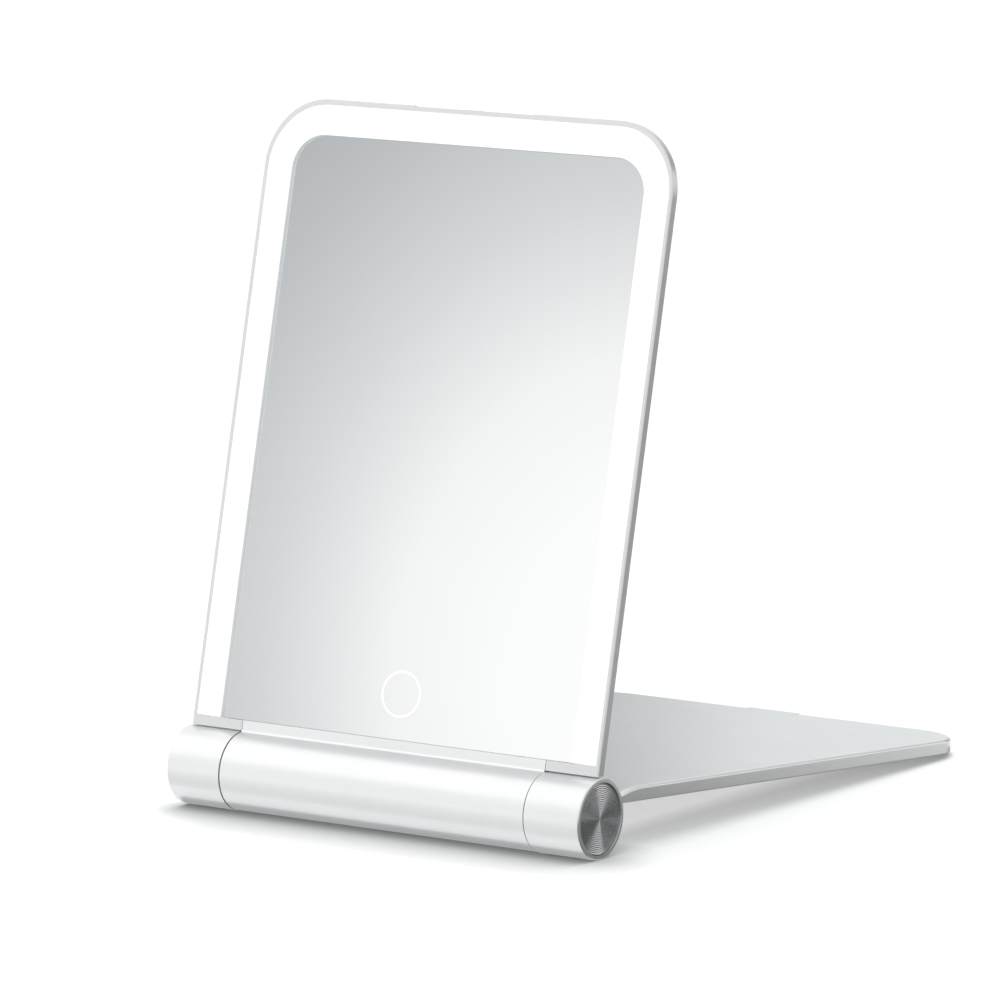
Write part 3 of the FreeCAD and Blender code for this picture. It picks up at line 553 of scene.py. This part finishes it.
class TRAVEL_OT_turned_discs(bpy.types.Operator):
    """Build the turned discs in the barrel's ends as lathe profiles with ring grooves"""
    bl_idname = "travel_mirror.turned_discs"
    bl_label = "Build Turned Discs"

    SEGMENTS = 192
    STEPS_PER_GROOVE = 8
    EDGE_STEPS = 5
    CRISP_FROM = 50.0
    FAINT_RINGS = (2.0, 90.0, 1.0)

    def profile(self, radius, thickness, look):
        """Face, edge and wall of a disc from just off its centre out to its back.

        The face is a cosine wave, -depth * (1 - cos(2 pi n r / reach)) / 2 with n grooves, and
        ends in a quarter-round edge. Returns radius and height, with the face's crests at 0.
        """
        reach = radius - look.edge
        count = look.grooves * self.STEPS_PER_GROOVE
        ring = np.linspace(0.0, reach, count + 1)[1:]
        wave = -look.depth * (1.0 - np.cos(2.0 * math.pi * look.grooves * ring / reach)) / 2.0
        turn = np.linspace(0.0, math.pi / 2, self.EDGE_STEPS + 1)[1:]
        edge = reach + look.edge * np.sin(turn)
        drop = look.edge * (np.cos(turn) - 1.0)
        back = np.array([radius, radius - look.edge])
        return (np.concatenate((ring, edge, back)),
                np.concatenate((wave, drop, np.full(2, -thickness))))

    def build(self, name, side, look):
        """A disc turned about the barrel's axis, with its face out to one side."""
        low, high = (np.array(corner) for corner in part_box(f"end_cap_{name}"))
        radius, thickness = (high[2] - low[2]) / 2.0 - look.gap, high[0] - low[0]
        face = high[0] if side > 0 else low[0]
        ring, height = self.profile(radius, thickness, look)
        turn = np.linspace(0.0, 2.0 * math.pi, self.SEGMENTS, endpoint=False)
        rows, columns = len(ring), self.SEGMENTS
        x = np.broadcast_to((face + side * height)[:, None], (rows, columns))
        y = HINGE[1] + side * ring[:, None] * np.cos(turn)
        z = HINGE[2] + ring[:, None] * np.sin(turn)
        points = np.stack((x, y, z), axis=-1).reshape(-1, 3)
        poles = np.array([[face, *HINGE[1:]], [face - side * thickness, *HINGE[1:]]])
        around = np.arange(columns)
        after = (around + 1) % columns
        last = (rows - 1) * columns
        pole = np.full(columns, rows * columns)
        front = np.stack((pole, around, after), axis=1)
        rear = np.stack((pole + 1, last + after, last + around), axis=1)
        faces = strip_faces(rows, columns, closed_columns=True)[:, ::-1].tolist()
        faces += front.tolist() + rear.tolist()
        uv = np.stack((np.broadcast_to(turn / (2.0 * math.pi), (rows, columns)),
                       np.broadcast_to((ring / radius)[:, None], (rows, columns))), axis=-1)
        uv = np.concatenate((uv.reshape(-1, 2), np.zeros((2, 2))))
        piece = add_piece(f"turned_disc_{name}", np.concatenate((points, poles)), faces, uv)
        sharpen(piece, self.CRISP_FROM)
        return piece

    def execute(self, context):
        look = context.scene.mirror_discs
        finish = self.turned(look)
        for name, side in (("left", -1.0), ("right", 1.0)):
            finish_piece(self.build(name, side, look), "base", "turned_disc", finish.material,
                         f"end_cap_{name}")
        return {"FINISHED"}

    def turned(self, look):
        """Bright turned metal with faint rings, whose fans of light come from the grooves."""
        finish = Finish("turned_metal", tuple(look.colour), metallic=1.0, roughness=0.22)
        rings = finish.noise(1.0, "UV", stretch=self.FAINT_RINGS)
        finish.tones(rings, tuple(look.colour), swing=0.06)
        finish.link(finish.spread(rings, low=0.2, high=0.26), "Roughness")
        return finish


def eased(low, high, count):
    """Numbers from low to high along half a cosine wave, closer together towards both ends."""
    share = (1.0 - np.cos(np.linspace(0.0, math.pi, count))) / 2.0
    return low + (high - low) * share


def level(height):
    """A flat surface at a height, for a side of a slab."""
    return lambda x, y: np.full_like(x, height)


def slab(low, high, columns, rows, under, over, edge):
    """A block over a rectangle between an under and an over surface, soft round its under edge.

    Within the edge distance of the border the under surface rises on a quarter circle, by
    edge - sqrt(edge^2 - (edge - distance)^2). Returns points (x, y, z) and faces.
    """
    x, y = np.meshgrid(eased(low[0], high[0], columns), eased(low[1], high[1], rows))
    border = np.minimum.reduce((x - low[0], high[0] - x, y - low[1], high[1] - y))
    inward = edge - np.clip(border, 0.0, edge)
    rise = edge - np.sqrt(edge ** 2 - inward ** 2)
    lower = np.stack((x, y, under(x, y) + rise), axis=-1).reshape(-1, 3)
    upper = np.stack((x, y, over(x, y)), axis=-1).reshape(-1, 3)
    count = rows * columns
    number = np.arange(count).reshape(rows, columns)
    rim = np.concatenate((number[0, :-1], number[:-1, -1], number[-1, :0:-1], number[:0:-1, 0]))
    after = np.roll(rim, -1)
    wall = np.stack((rim, after, after + count, rim + count), axis=1)
    sheet = strip_faces(rows, columns)
    faces = np.concatenate((sheet[:, ::-1], sheet + count, wall))
    return np.concatenate((lower, upper)), faces


class TRAVEL_OT_rubber(bpy.types.Operator):
    """Build the rubber foot and the pads under the knuckles with softened edges"""
    bl_idname = "travel_mirror.rubber"
    bl_label = "Build Rubber Feet"

    COLUMNS = 48
    ROWS = 16
    CRISP_FROM = 50.0

    def in_stand(self, points):
        """Points (x, out, up) of the stand's frame, in the part's frame."""
        return HINGE + points @ np.stack((ACROSS, STAND_OUT, STAND_UP))

    def execute(self, context):
        look = context.scene.mirror_rubber
        rubber = grained("matt_rubber", tuple(look.colour), metallic=0.0, roughness=0.75, grain=0.4,
                         swing=0.06, depth=0.03, strength=0.4)
        rubber.set("Specular IOR Level", 0.3)
        radius = HINGE[2]
        lean = STAND_OUT[2] / STAND_OUT[1]

        def floor(x, out):
            """The floor's height in the stand's frame."""
            return -out * lean - radius / STAND_UP[2]

        def round_under(x, out):
            """The knuckle's round underside."""
            return -np.sqrt(radius ** 2 - out ** 2)

        for name, under in (("rear_foot", floor), ("knuckle_pad_left", round_under),
                            ("knuckle_pad_right", round_under)):
            low, high = stand_box(name)
            groove_top = level(high[2])
            points, faces = slab(low, high, self.COLUMNS, self.ROWS, under, groove_top, look.edge)
            piece = add_piece(f"rubber_{name}", self.in_stand(points), faces.tolist())
            sharpen(piece, self.CRISP_FROM)
            finish_piece(piece, "base", "rubber_grey", rubber.material, name)
        return {"FINISHED"}


class TRAVEL_OT_underside(bpy.types.Operator):
    """Give the cover under the stand its smooth matt finish"""
    bl_idname = "travel_mirror.underside"
    bl_label = "Dress Underside"

    def execute(self, context):
        cover = grained("matt_cover", (0.8, 0.8, 0.8), metallic=0.0, roughness=0.6, grain=0.5)
        dress(cover, "base_liner")
        return {"FINISHED"}


class TRAVEL_OT_socket(bpy.types.Operator):
    """Finish the charging socket and build the contacts on its tongue"""
    bl_idname = "travel_mirror.socket"
    bl_label = "Build Socket Contacts"

    COUNT = 12
    PITCH = 0.5 * MM
    WIDTH = 0.26 * MM
    LENGTH = 3.4 * MM
    SETBACK = 0.8 * MM
    TONGUE = 0.35 * MM
    PROUD = 0.03 * MM
    COLUMNS = 6
    ROWS = 8

    def execute(self, context):
        mount = next(m for m in frame["record"]["mounts"] if m["name"] == "charging_socket")
        mouth, out = np.array(mount["pos_m"]), np.array(mount["axis"])
        side = np.cross(out, ACROSS)
        stop = -self.SETBACK
        middles = (np.arange(self.COUNT) - (self.COUNT - 1) / 2.0) * self.PITCH
        points, faces, count = [], [], 0
        for face in (-1.0, 1.0):
            axes = np.stack((ACROSS, out, face * side))
            for middle in middles:
                low = (middle - self.WIDTH / 2.0, stop - self.LENGTH)
                high = (middle + self.WIDTH / 2.0, stop)
                block, quads = slab(low, high, self.COLUMNS, self.ROWS, level(-self.PROUD),
                                    level(0.0), self.PROUD / 2.0)
                block[:, 2] = self.TONGUE - block[:, 2]
                points.append(mouth + block @ axes)
                faces.append((quads if face > 0 else quads[:, ::-1]) + count)
                count += len(block)
        piece = add_piece("socket_contacts", np.concatenate(points), np.concatenate(faces).tolist())
        polish = {"metallic": 1.0, "roughness": 0.3, "grain": 0.1, "depth": 0.001}
        gold = grained("gold_contacts", (0.83, 0.62, 0.27), **polish)
        finish_piece(piece, "mirror", "hinge_steel", gold.material)
        shell = grained("socket_steel", (0.62, 0.63, 0.64), **polish)
        dress(shell, "usb_socket")
        return {"FINISHED"}


class TRAVEL_OT_hinge(bpy.types.Operator):
    """Finish the hinge pack inside the barrel"""
    bl_idname = "travel_mirror.hinge"
    bl_label = "Dress Hinge"

    def execute(self, context):
        steel = grained("ground_steel", (0.6, 0.6, 0.61), metallic=1.0, roughness=0.35, grain=0.1,
                        depth=0.002)
        dress(steel, *both("hinge_pin"), *both("spring_washer"), *both("hinge_nut"), "latch_plates",
              "closing_magnets")
        bronze = grained("sintered_bronze", (0.6, 0.42, 0.2), metallic=1.0, roughness=0.5, grain=0.12,
                         swing=0.1, depth=0.005)
        dress(bronze, *both("friction_bush"))
        plug = grained("moulded_plug", (0.12, 0.12, 0.13), metallic=0.0, roughness=0.5, grain=0.3)
        dress(plug, *both("barrel_plug"))
        return {"FINISHED"}


class TRAVEL_OT_electronics(bpy.types.Operator):
    """Finish the cell, the boards and the films inside"""
    bl_idname = "travel_mirror.electronics"
    bl_label = "Dress Electronics"

    LIGHT = (1.0, 0.98, 0.94)

    def execute(self, context):
        for name, colour, roughness, grain, nodes in (
                ("cell_sleeve", (0.06, 0.16, 0.4), 0.35, 0.4, ("battery_cell",)),
                ("solder_mask", (0.01, 0.1, 0.04), 0.3, 0.6, ("control_board", *both("led_board"))),
                ("amber_film", (0.24, 0.15, 0.07), 0.25, 0.8, ("touch_flex",)),
                ("white_film", (0.85, 0.85, 0.85), 0.6, 0.4,
                 ("reflector_film", "mirror_tape", "flange_tape"))):
            dress(grained(name, colour, 0.0, roughness, grain), *nodes)
        chips = grained("light_source", (0.9, 0.85, 0.6), metallic=0.0, roughness=0.3, grain=0.2)
        chips.set("Emission Color", (*self.LIGHT, 1.0))
        chips.set("Emission Strength", 1.0)
        dress(chips, *both("led_chips"))
        return {"FINISHED"}


# Stage

class TRAVEL_OT_stage(bpy.types.Operator):
    """Set the floor, the background, the cards that gloss shows, and the camera"""
    bl_idname = "travel_mirror.stage"
    bl_label = "Set Stage"

    WHITE = (1.0, 1.0, 1.0)
    SENSOR = 36.0
    VIEW_END = 100.0
    FLOOR_HALF = 12.0
    FLOOR_ROUGHNESS = 0.9

    # Floor's shade: rays, steepness, and the shares of the part's right and left half widths
    # over which its reach grows from a small share to the whole
    SHADE_RAYS = 4
    SHADE_POWER = 1.4
    SHADE_RIGHT = (0.15, 0.8)
    SHADE_LEFT = (1.1, 0.6)
    SHADE_SHARES = (0.3, 1.0)

    # Mirror's card: how far off it stands, then its middle, half size and whitest place in widths
    # and heights of the mirror from its lower right corner, and the tones round that place
    CARD_REACH = 0.9
    CARD_MIDDLE = (0.5, 0.55)
    CARD_HALF = (0.56, 0.61)
    CARD_WHITEST = (-0.157, 0.162)
    CARD_STRETCH = 1.348
    CARD_SPAN = 1.75
    CARD_TONES = ((0.0, (1.0, 1.0, 1.0)), (0.2, (1.0, 1.0, 1.0)), (0.4, (0.92, 0.92, 0.92)),
                  (0.6, (0.69, 0.7, 0.705)), (0.8, (0.525, 0.545, 0.56)), (1.0, (0.42, 0.44, 0.455)))

    # Mats on the floor: their heights, the play beside the part, and where the outer ones meet and end
    MAT_HEIGHT = 0.1 * MM
    FAR_MAT_HEIGHT = 0.5 * MM
    MAT_PLAY = 0.2 * MM
    MAT_BORDER = 0.16
    MAT_RIGHT = 2.16
    MAT_LEFT = -0.3
    MAT_DEPTH = (-0.7, 1.7)

    def execute(self, context):
        look = context.scene.mirror_stage
        context.scene.view_settings.view_transform = "Standard"
        camera = self.camera(context, look)
        self.floor(look)
        self.background(context, look)
        self.mirror_card(camera)
        self.floor_mats()
        self.flags()
        return {"FINISHED"}

    def camera(self, context, look):
        """A camera round the target by azimuth and elevation, turned by its roll."""
        turn = (Matrix.Rotation(look.azimuth, 4, "Z")
                @ Matrix.Rotation(math.pi / 2 - look.elevation, 4, "X")
                @ Matrix.Rotation(look.roll, 4, "Z"))
        away = turn @ Vector((0.0, 0.0, look.distance))
        data = bpy.data.cameras.new("photo_camera")
        data.lens = look.lens
        data.sensor_width = self.SENSOR
        data.clip_end = self.VIEW_END
        camera = bpy.data.objects.new("photo_camera", data)
        camera.matrix_world = Matrix.Translation(Vector(look.target) + away) @ turn
        context.scene.collection.objects.link(camera)
        context.scene.camera = camera
        return camera

    def seen(self, tree):
        """1 for rays from the camera, from gloss and through glass, else 0."""
        path = tree.nodes.new("ShaderNodeLightPath").outputs
        direct = calculate(tree, "MAXIMUM", path["Is Camera Ray"], path["Is Glossy Ray"])
        return calculate(tree, "MAXIMUM", direct, path["Is Transmission Ray"])

    def plane(self, name, centre, wide, high):
        """A flat card from its centre and the vectors to its right and upper edges."""
        corners = ((-1, -1), (1, -1), (1, 1), (-1, 1))
        points = np.array([centre + a * wide + b * high for a, b in corners])
        card = add_piece(name, points, [[0, 1, 2, 3]], smooth=False)
        card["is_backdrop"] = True
        return card

    def floor(self, look):
        """A pale floor that shows white where no shadow falls, darker with painted contact shadow where the part
        meets it.
        """
        half = self.FLOOR_HALF
        floor = self.plane("floor", np.zeros(3), half * ACROSS, half * np.array((0.0, 1.0, 0.0)))
        material = bpy.data.materials.new("pale_floor")
        material.use_nodes = True
        tree = material.node_tree
        shader = tree.nodes["Principled BSDF"]
        shader.inputs["Roughness"].default_value = self.FLOOR_ROUGHNESS
        shader.inputs["Specular IOR Level"].default_value = 0.0
        shader.inputs["Emission Color"].default_value = (*self.WHITE, 1.0)
        camera_ray = tree.nodes.new("ShaderNodeLightPath").outputs["Is Camera Ray"]
        # Painted shadow: the occlusion shade darkens only what the camera sees of the floor
        shade = mix(tree, camera_ray, 1.0, self.contact(tree, look))
        colour = tree.nodes.new("ShaderNodeVectorMath")
        colour.operation = "SCALE"
        colour.inputs["Vector"].default_value = look.floor
        tree.links.new(shade, colour.inputs["Scale"])
        tree.links.new(colour.outputs["Vector"], shader.inputs["Base Color"])
        white = mix(tree, camera_ray, look.floor_gloss, look.floor_glow)
        seen_white = calculate(tree, "MULTIPLY", white, self.seen(tree))
        glow = calculate(tree, "MULTIPLY", seen_white, shade)
        tree.links.new(glow, shader.inputs["Emission Strength"])
        floor.data.materials.append(material)

    def contact(self, tree, look):
        """Painted contact shadow: share of the floor's white left, less where the part closely covers it.

        The shade reaches furthest before the barrel and less and less out under the stand. It is
        shorter at the part's left end and, under the stand, away from its right side.
        """
        place = apart(tree)
        low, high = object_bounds()
        front, root = HINGE[1] - HINGE[2], HINGE[1] + HINGE[2]
        along = between(tree, place["Y"], (root, high[1]), (look.contact_under, look.contact_far))
        right_span = [share * high[0] for share in self.SHADE_RIGHT]
        left_span = [share * low[0] for share in self.SHADE_LEFT]
        right = between(tree, place["X"], right_span, self.SHADE_SHARES)
        left = between(tree, place["X"], left_span, self.SHADE_SHARES)
        under = calculate(tree, "MULTIPLY", along, right)
        reach = between(tree, place["Y"], (front, root), (look.contact, under))
        covered = tree.nodes.new("ShaderNodeAmbientOcclusion")
        covered.samples = self.SHADE_RAYS
        tree.links.new(calculate(tree, "MULTIPLY", reach, left), covered.inputs["Distance"])
        steeper = calculate(tree, "POWER", covered.outputs["AO"], self.SHADE_POWER)
        return between(tree, steeper, (0.0, 1.0), (look.contact_shade, 1.0))

    def background(self, context, look):
        """White where it is seen; as light, rising evenly from the far side to the strongest side."""
        world = bpy.data.worlds.new("studio")
        context.scene.world = world
        world.use_nodes = True
        tree = world.node_tree
        shader = tree.nodes["Background"]
        shader.inputs["Color"].default_value = (*self.WHITE, 1.0)
        coordinates = tree.nodes.new("ShaderNodeTexCoord")
        facing = tree.nodes.new("ShaderNodeVectorMath")
        facing.operation = "DOT_PRODUCT"
        facing.inputs[1].default_value = Vector(look.light_from).normalized()
        tree.links.new(coordinates.outputs["Generated"], facing.inputs[0])
        light = between(tree, facing.outputs["Value"], (-1.0, 1.0), (look.dimmest, look.brightest))
        tree.links.new(mix(tree, self.seen(tree), light, 1.0), shader.inputs["Strength"])

    def reflector(self, name, centre, wide, high, colour):
        """A glowing card that shows in gloss alone. Returns its node tree and shader."""
        card = self.plane(name, np.array(centre), np.array(wide), np.array(high))
        card.visible_camera = False
        card.visible_diffuse = False
        card.visible_shadow = False
        card.visible_transmission = False
        material = bpy.data.materials.new(name)
        material.use_nodes = True
        tree = material.node_tree
        tree.nodes.remove(tree.nodes["Principled BSDF"])
        shader = tree.nodes.new("ShaderNodeEmission")
        shader.inputs["Color"].default_value = (*colour, 1.0)
        tree.links.new(shader.outputs["Emission"], tree.nodes["Material Output"].inputs["Surface"])
        card.data.materials.append(material)
        return tree, shader

    def mirror_card(self, camera):
        """A card that the mirror shows to the camera: white at the lower right, greyer away from it.

        The grey follows an ellipse's distance, counted in widths and heights of the mirror.
        """
        low, high = panel_box("mirror_glass")
        eye = np.array(camera.matrix_world.translation)

        def lands(x, up):
            """Where the camera's ray by way of a point on the mirror goes."""
            point = on_panel(x, up, high[2])
            way = (point - eye) / np.linalg.norm(point - eye)
            return point + self.CARD_REACH * (way - 2.0 * (way @ PANEL_OUT) * PANEL_OUT)

        corner = lands(high[0], low[1])
        side = lands(low[0], low[1]) - corner
        top = lands(high[0], high[1]) - corner

        def on_card(widths, heights):
            """A place on the card, counted from its corner."""
            return corner + widths * side + heights * top

        tree, shader = self.reflector("mirror_card", on_card(*self.CARD_MIDDLE),
                                      self.CARD_HALF[0] * side, self.CARD_HALF[1] * top, self.WHITE)
        axes = np.stack((side, top / self.CARD_STRETCH, np.cross(side, top)), axis=1)
        rows = np.linalg.inv(axes)
        coordinates = tree.nodes.new("ShaderNodeTexCoord")
        shift = tree.nodes.new("ShaderNodeVectorMath")
        shift.operation = "SUBTRACT"
        shift.inputs[1].default_value = on_card(*self.CARD_WHITEST)
        tree.links.new(coordinates.outputs["Object"], shift.inputs[0])
        combine = tree.nodes.new("ShaderNodeCombineXYZ")
        for axis in range(2):
            dot = tree.nodes.new("ShaderNodeVectorMath")
            dot.operation = "DOT_PRODUCT"
            dot.inputs[1].default_value = rows[axis]
            tree.links.new(shift.outputs["Vector"], dot.inputs[0])
            tree.links.new(dot.outputs["Value"], combine.inputs[axis])
        distance = tree.nodes.new("ShaderNodeVectorMath")
        distance.operation = "LENGTH"
        tree.links.new(combine.outputs["Vector"], distance.inputs[0])
        share = between(tree, distance.outputs["Value"], (0.0, self.CARD_SPAN), (0.0, 1.0))
        tree.links.new(ramp(tree, share, self.CARD_TONES), shader.inputs["Color"])

    def graded(self, card, span, values):
        """Let a card's light change evenly along Y over a span, from the first value to the second."""
        tree, shader = card
        tree.links.new(between(tree, apart(tree)["Y"], span, values), shader.inputs["Strength"])

    def dimmer_again(self, card, share):
        """Leave a share of a card's light where gloss shows it by way of other gloss."""
        tree, shader = card
        depth = tree.nodes.new("ShaderNodeLightPath").outputs["Glossy Depth"]
        tree.links.new(between(tree, depth, (1.0, 2.0), (1.0, share)), shader.inputs["Strength"])

    def mat(self, name, x, y, colour, height=MAT_HEIGHT):
        """A card flat on the floor over a range of x and a range of y."""
        return self.reflector(name, centre=((x[0] + x[1]) / 2.0, (y[0] + y[1]) / 2.0, height),
                              wide=((x[1] - x[0]) / 2.0, 0.0, 0.0),
                              high=(0.0, (y[1] - y[0]) / 2.0, 0.0), colour=colour)

    def floor_mats(self):
        """Darker mats on the floor beside the part; those under barrel and stand and before the barrel are painted
        shadow.
        """
        right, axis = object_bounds()[1][0], HINGE[1]
        across = (-right, right)
        near = self.mat("near_mat", (right + self.MAT_PLAY, self.MAT_BORDER), self.MAT_DEPTH, self.WHITE)
        self.graded(near, span=(-0.05, 0.14), values=(0.09, 0.9))
        self.mat("far_mat", (self.MAT_BORDER, self.MAT_RIGHT), self.MAT_DEPTH, (0.36, 0.365, 0.37),
                 self.FAR_MAT_HEIGHT)
        # Painted shadow: these mats show gloss a shaded floor under the barrel, before it and under the stand
        self.mat("under_mat", across, (axis - 7.0 * MM, axis + 7.0 * MM), (0.48, 0.485, 0.49))
        front = self.mat("front_mat", (self.MAT_LEFT, right), (axis - 54.0 * MM, axis - 14.0 * MM),
                         self.WHITE)
        self.graded(front, span=(axis - 18.0 * MM, axis - 45.0 * MM), values=(0.9, 1.0))
        self.mat("plate_mat", across, (-78.0 * MM, 102.0 * MM), (0.3, 0.305, 0.31))

    def flags(self):
        """Flags for edges, right side and stand, a strip for the disc and a soft front light."""
        self.reflector("edge_flag", centre=(0.22, 1.1, 0.85), wide=(0.5, 0.0, 0.0),
                       high=(0.0, 0.0, 0.27), colour=(0.55, 0.555, 0.56))
        self.reflector("side_flag", centre=(1.5, 0.72, 0.36), wide=(-1.9, 1.3, 0.0),
                       high=(0.0, 0.0, 0.36), colour=(0.075, 0.078, 0.081))
        self.reflector("disc_strip", centre=(0.485, 0.977, 0.246), wide=(-0.34, 0.158, -0.121),
                       high=(0.0, 0.0, 0.198), colour=(1.15, 1.15, 1.15))
        back = self.reflector("back_flag", centre=(-0.12, 0.39, 0.1), wide=(0.0, 0.36, 0.0),
                              high=(0.0, 0.0, 0.1), colour=(0.95, 0.985, 1.0))
        self.graded(back, span=(0.18, 0.29), values=(0.4, 0.82))
        light = self.reflector("front_light", centre=(-0.614, -0.584, 0.79),
                               wide=(-0.333, 0.122, -0.188), high=(0.0, 0.67, 0.436),
                               colour=(1.3, 1.3, 1.3))
        self.dimmer_again(light, share=0.5)


class VIEW3D_PT_travel_mirror(bpy.types.Panel):
    """The mirror's pieces and stage"""
    bl_label = "Travel Mirror"
    bl_space_type = "VIEW_3D"
    bl_region_type = "UI"
    bl_category = "Mirror"

    def draw(self, context):
        for operator in OPERATORS:
            self.layout.operator(operator.bl_idname)
        for name in SETTINGS:
            group = getattr(context.scene, name)
            box = self.layout.box()
            for key in group.__annotations__:
                box.prop(group, key)


SETTINGS = {
    "mirror_housing": HousingSettings,
    "mirror_light": LightSettings,
    "mirror_discs": DiscSettings,
    "mirror_rubber": RubberSettings,
    "mirror_stage": StageSettings,
}
OPERATORS = (
    TRAVEL_OT_housing, TRAVEL_OT_light_band, TRAVEL_OT_mirror_face, TRAVEL_OT_turned_discs,
    TRAVEL_OT_rubber, TRAVEL_OT_underside, TRAVEL_OT_socket, TRAVEL_OT_hinge,
    TRAVEL_OT_electronics, TRAVEL_OT_stage,
)
CLASSES = (*SETTINGS.values(), *OPERATORS, VIEW3D_PT_travel_mirror)


def register():
    """Add the classes and their settings to Blender."""
    for cls in CLASSES:
        bpy.utils.register_class(cls)
    for name, group in SETTINGS.items():
        setattr(bpy.types.Scene, name, bpy.props.PointerProperty(type=group))


def unregister():
    """Take them out again."""
    for name in SETTINGS:
        delattr(bpy.types.Scene, name)
    for cls in reversed(CLASSES):
        bpy.utils.unregister_class(cls)


def main():
    """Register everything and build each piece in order."""
    register()
    for operator in OPERATORS:
        group, name = operator.bl_idname.split(".")
        getattr(getattr(bpy.ops, group), name)()


if __name__ == "__main__":
    main()
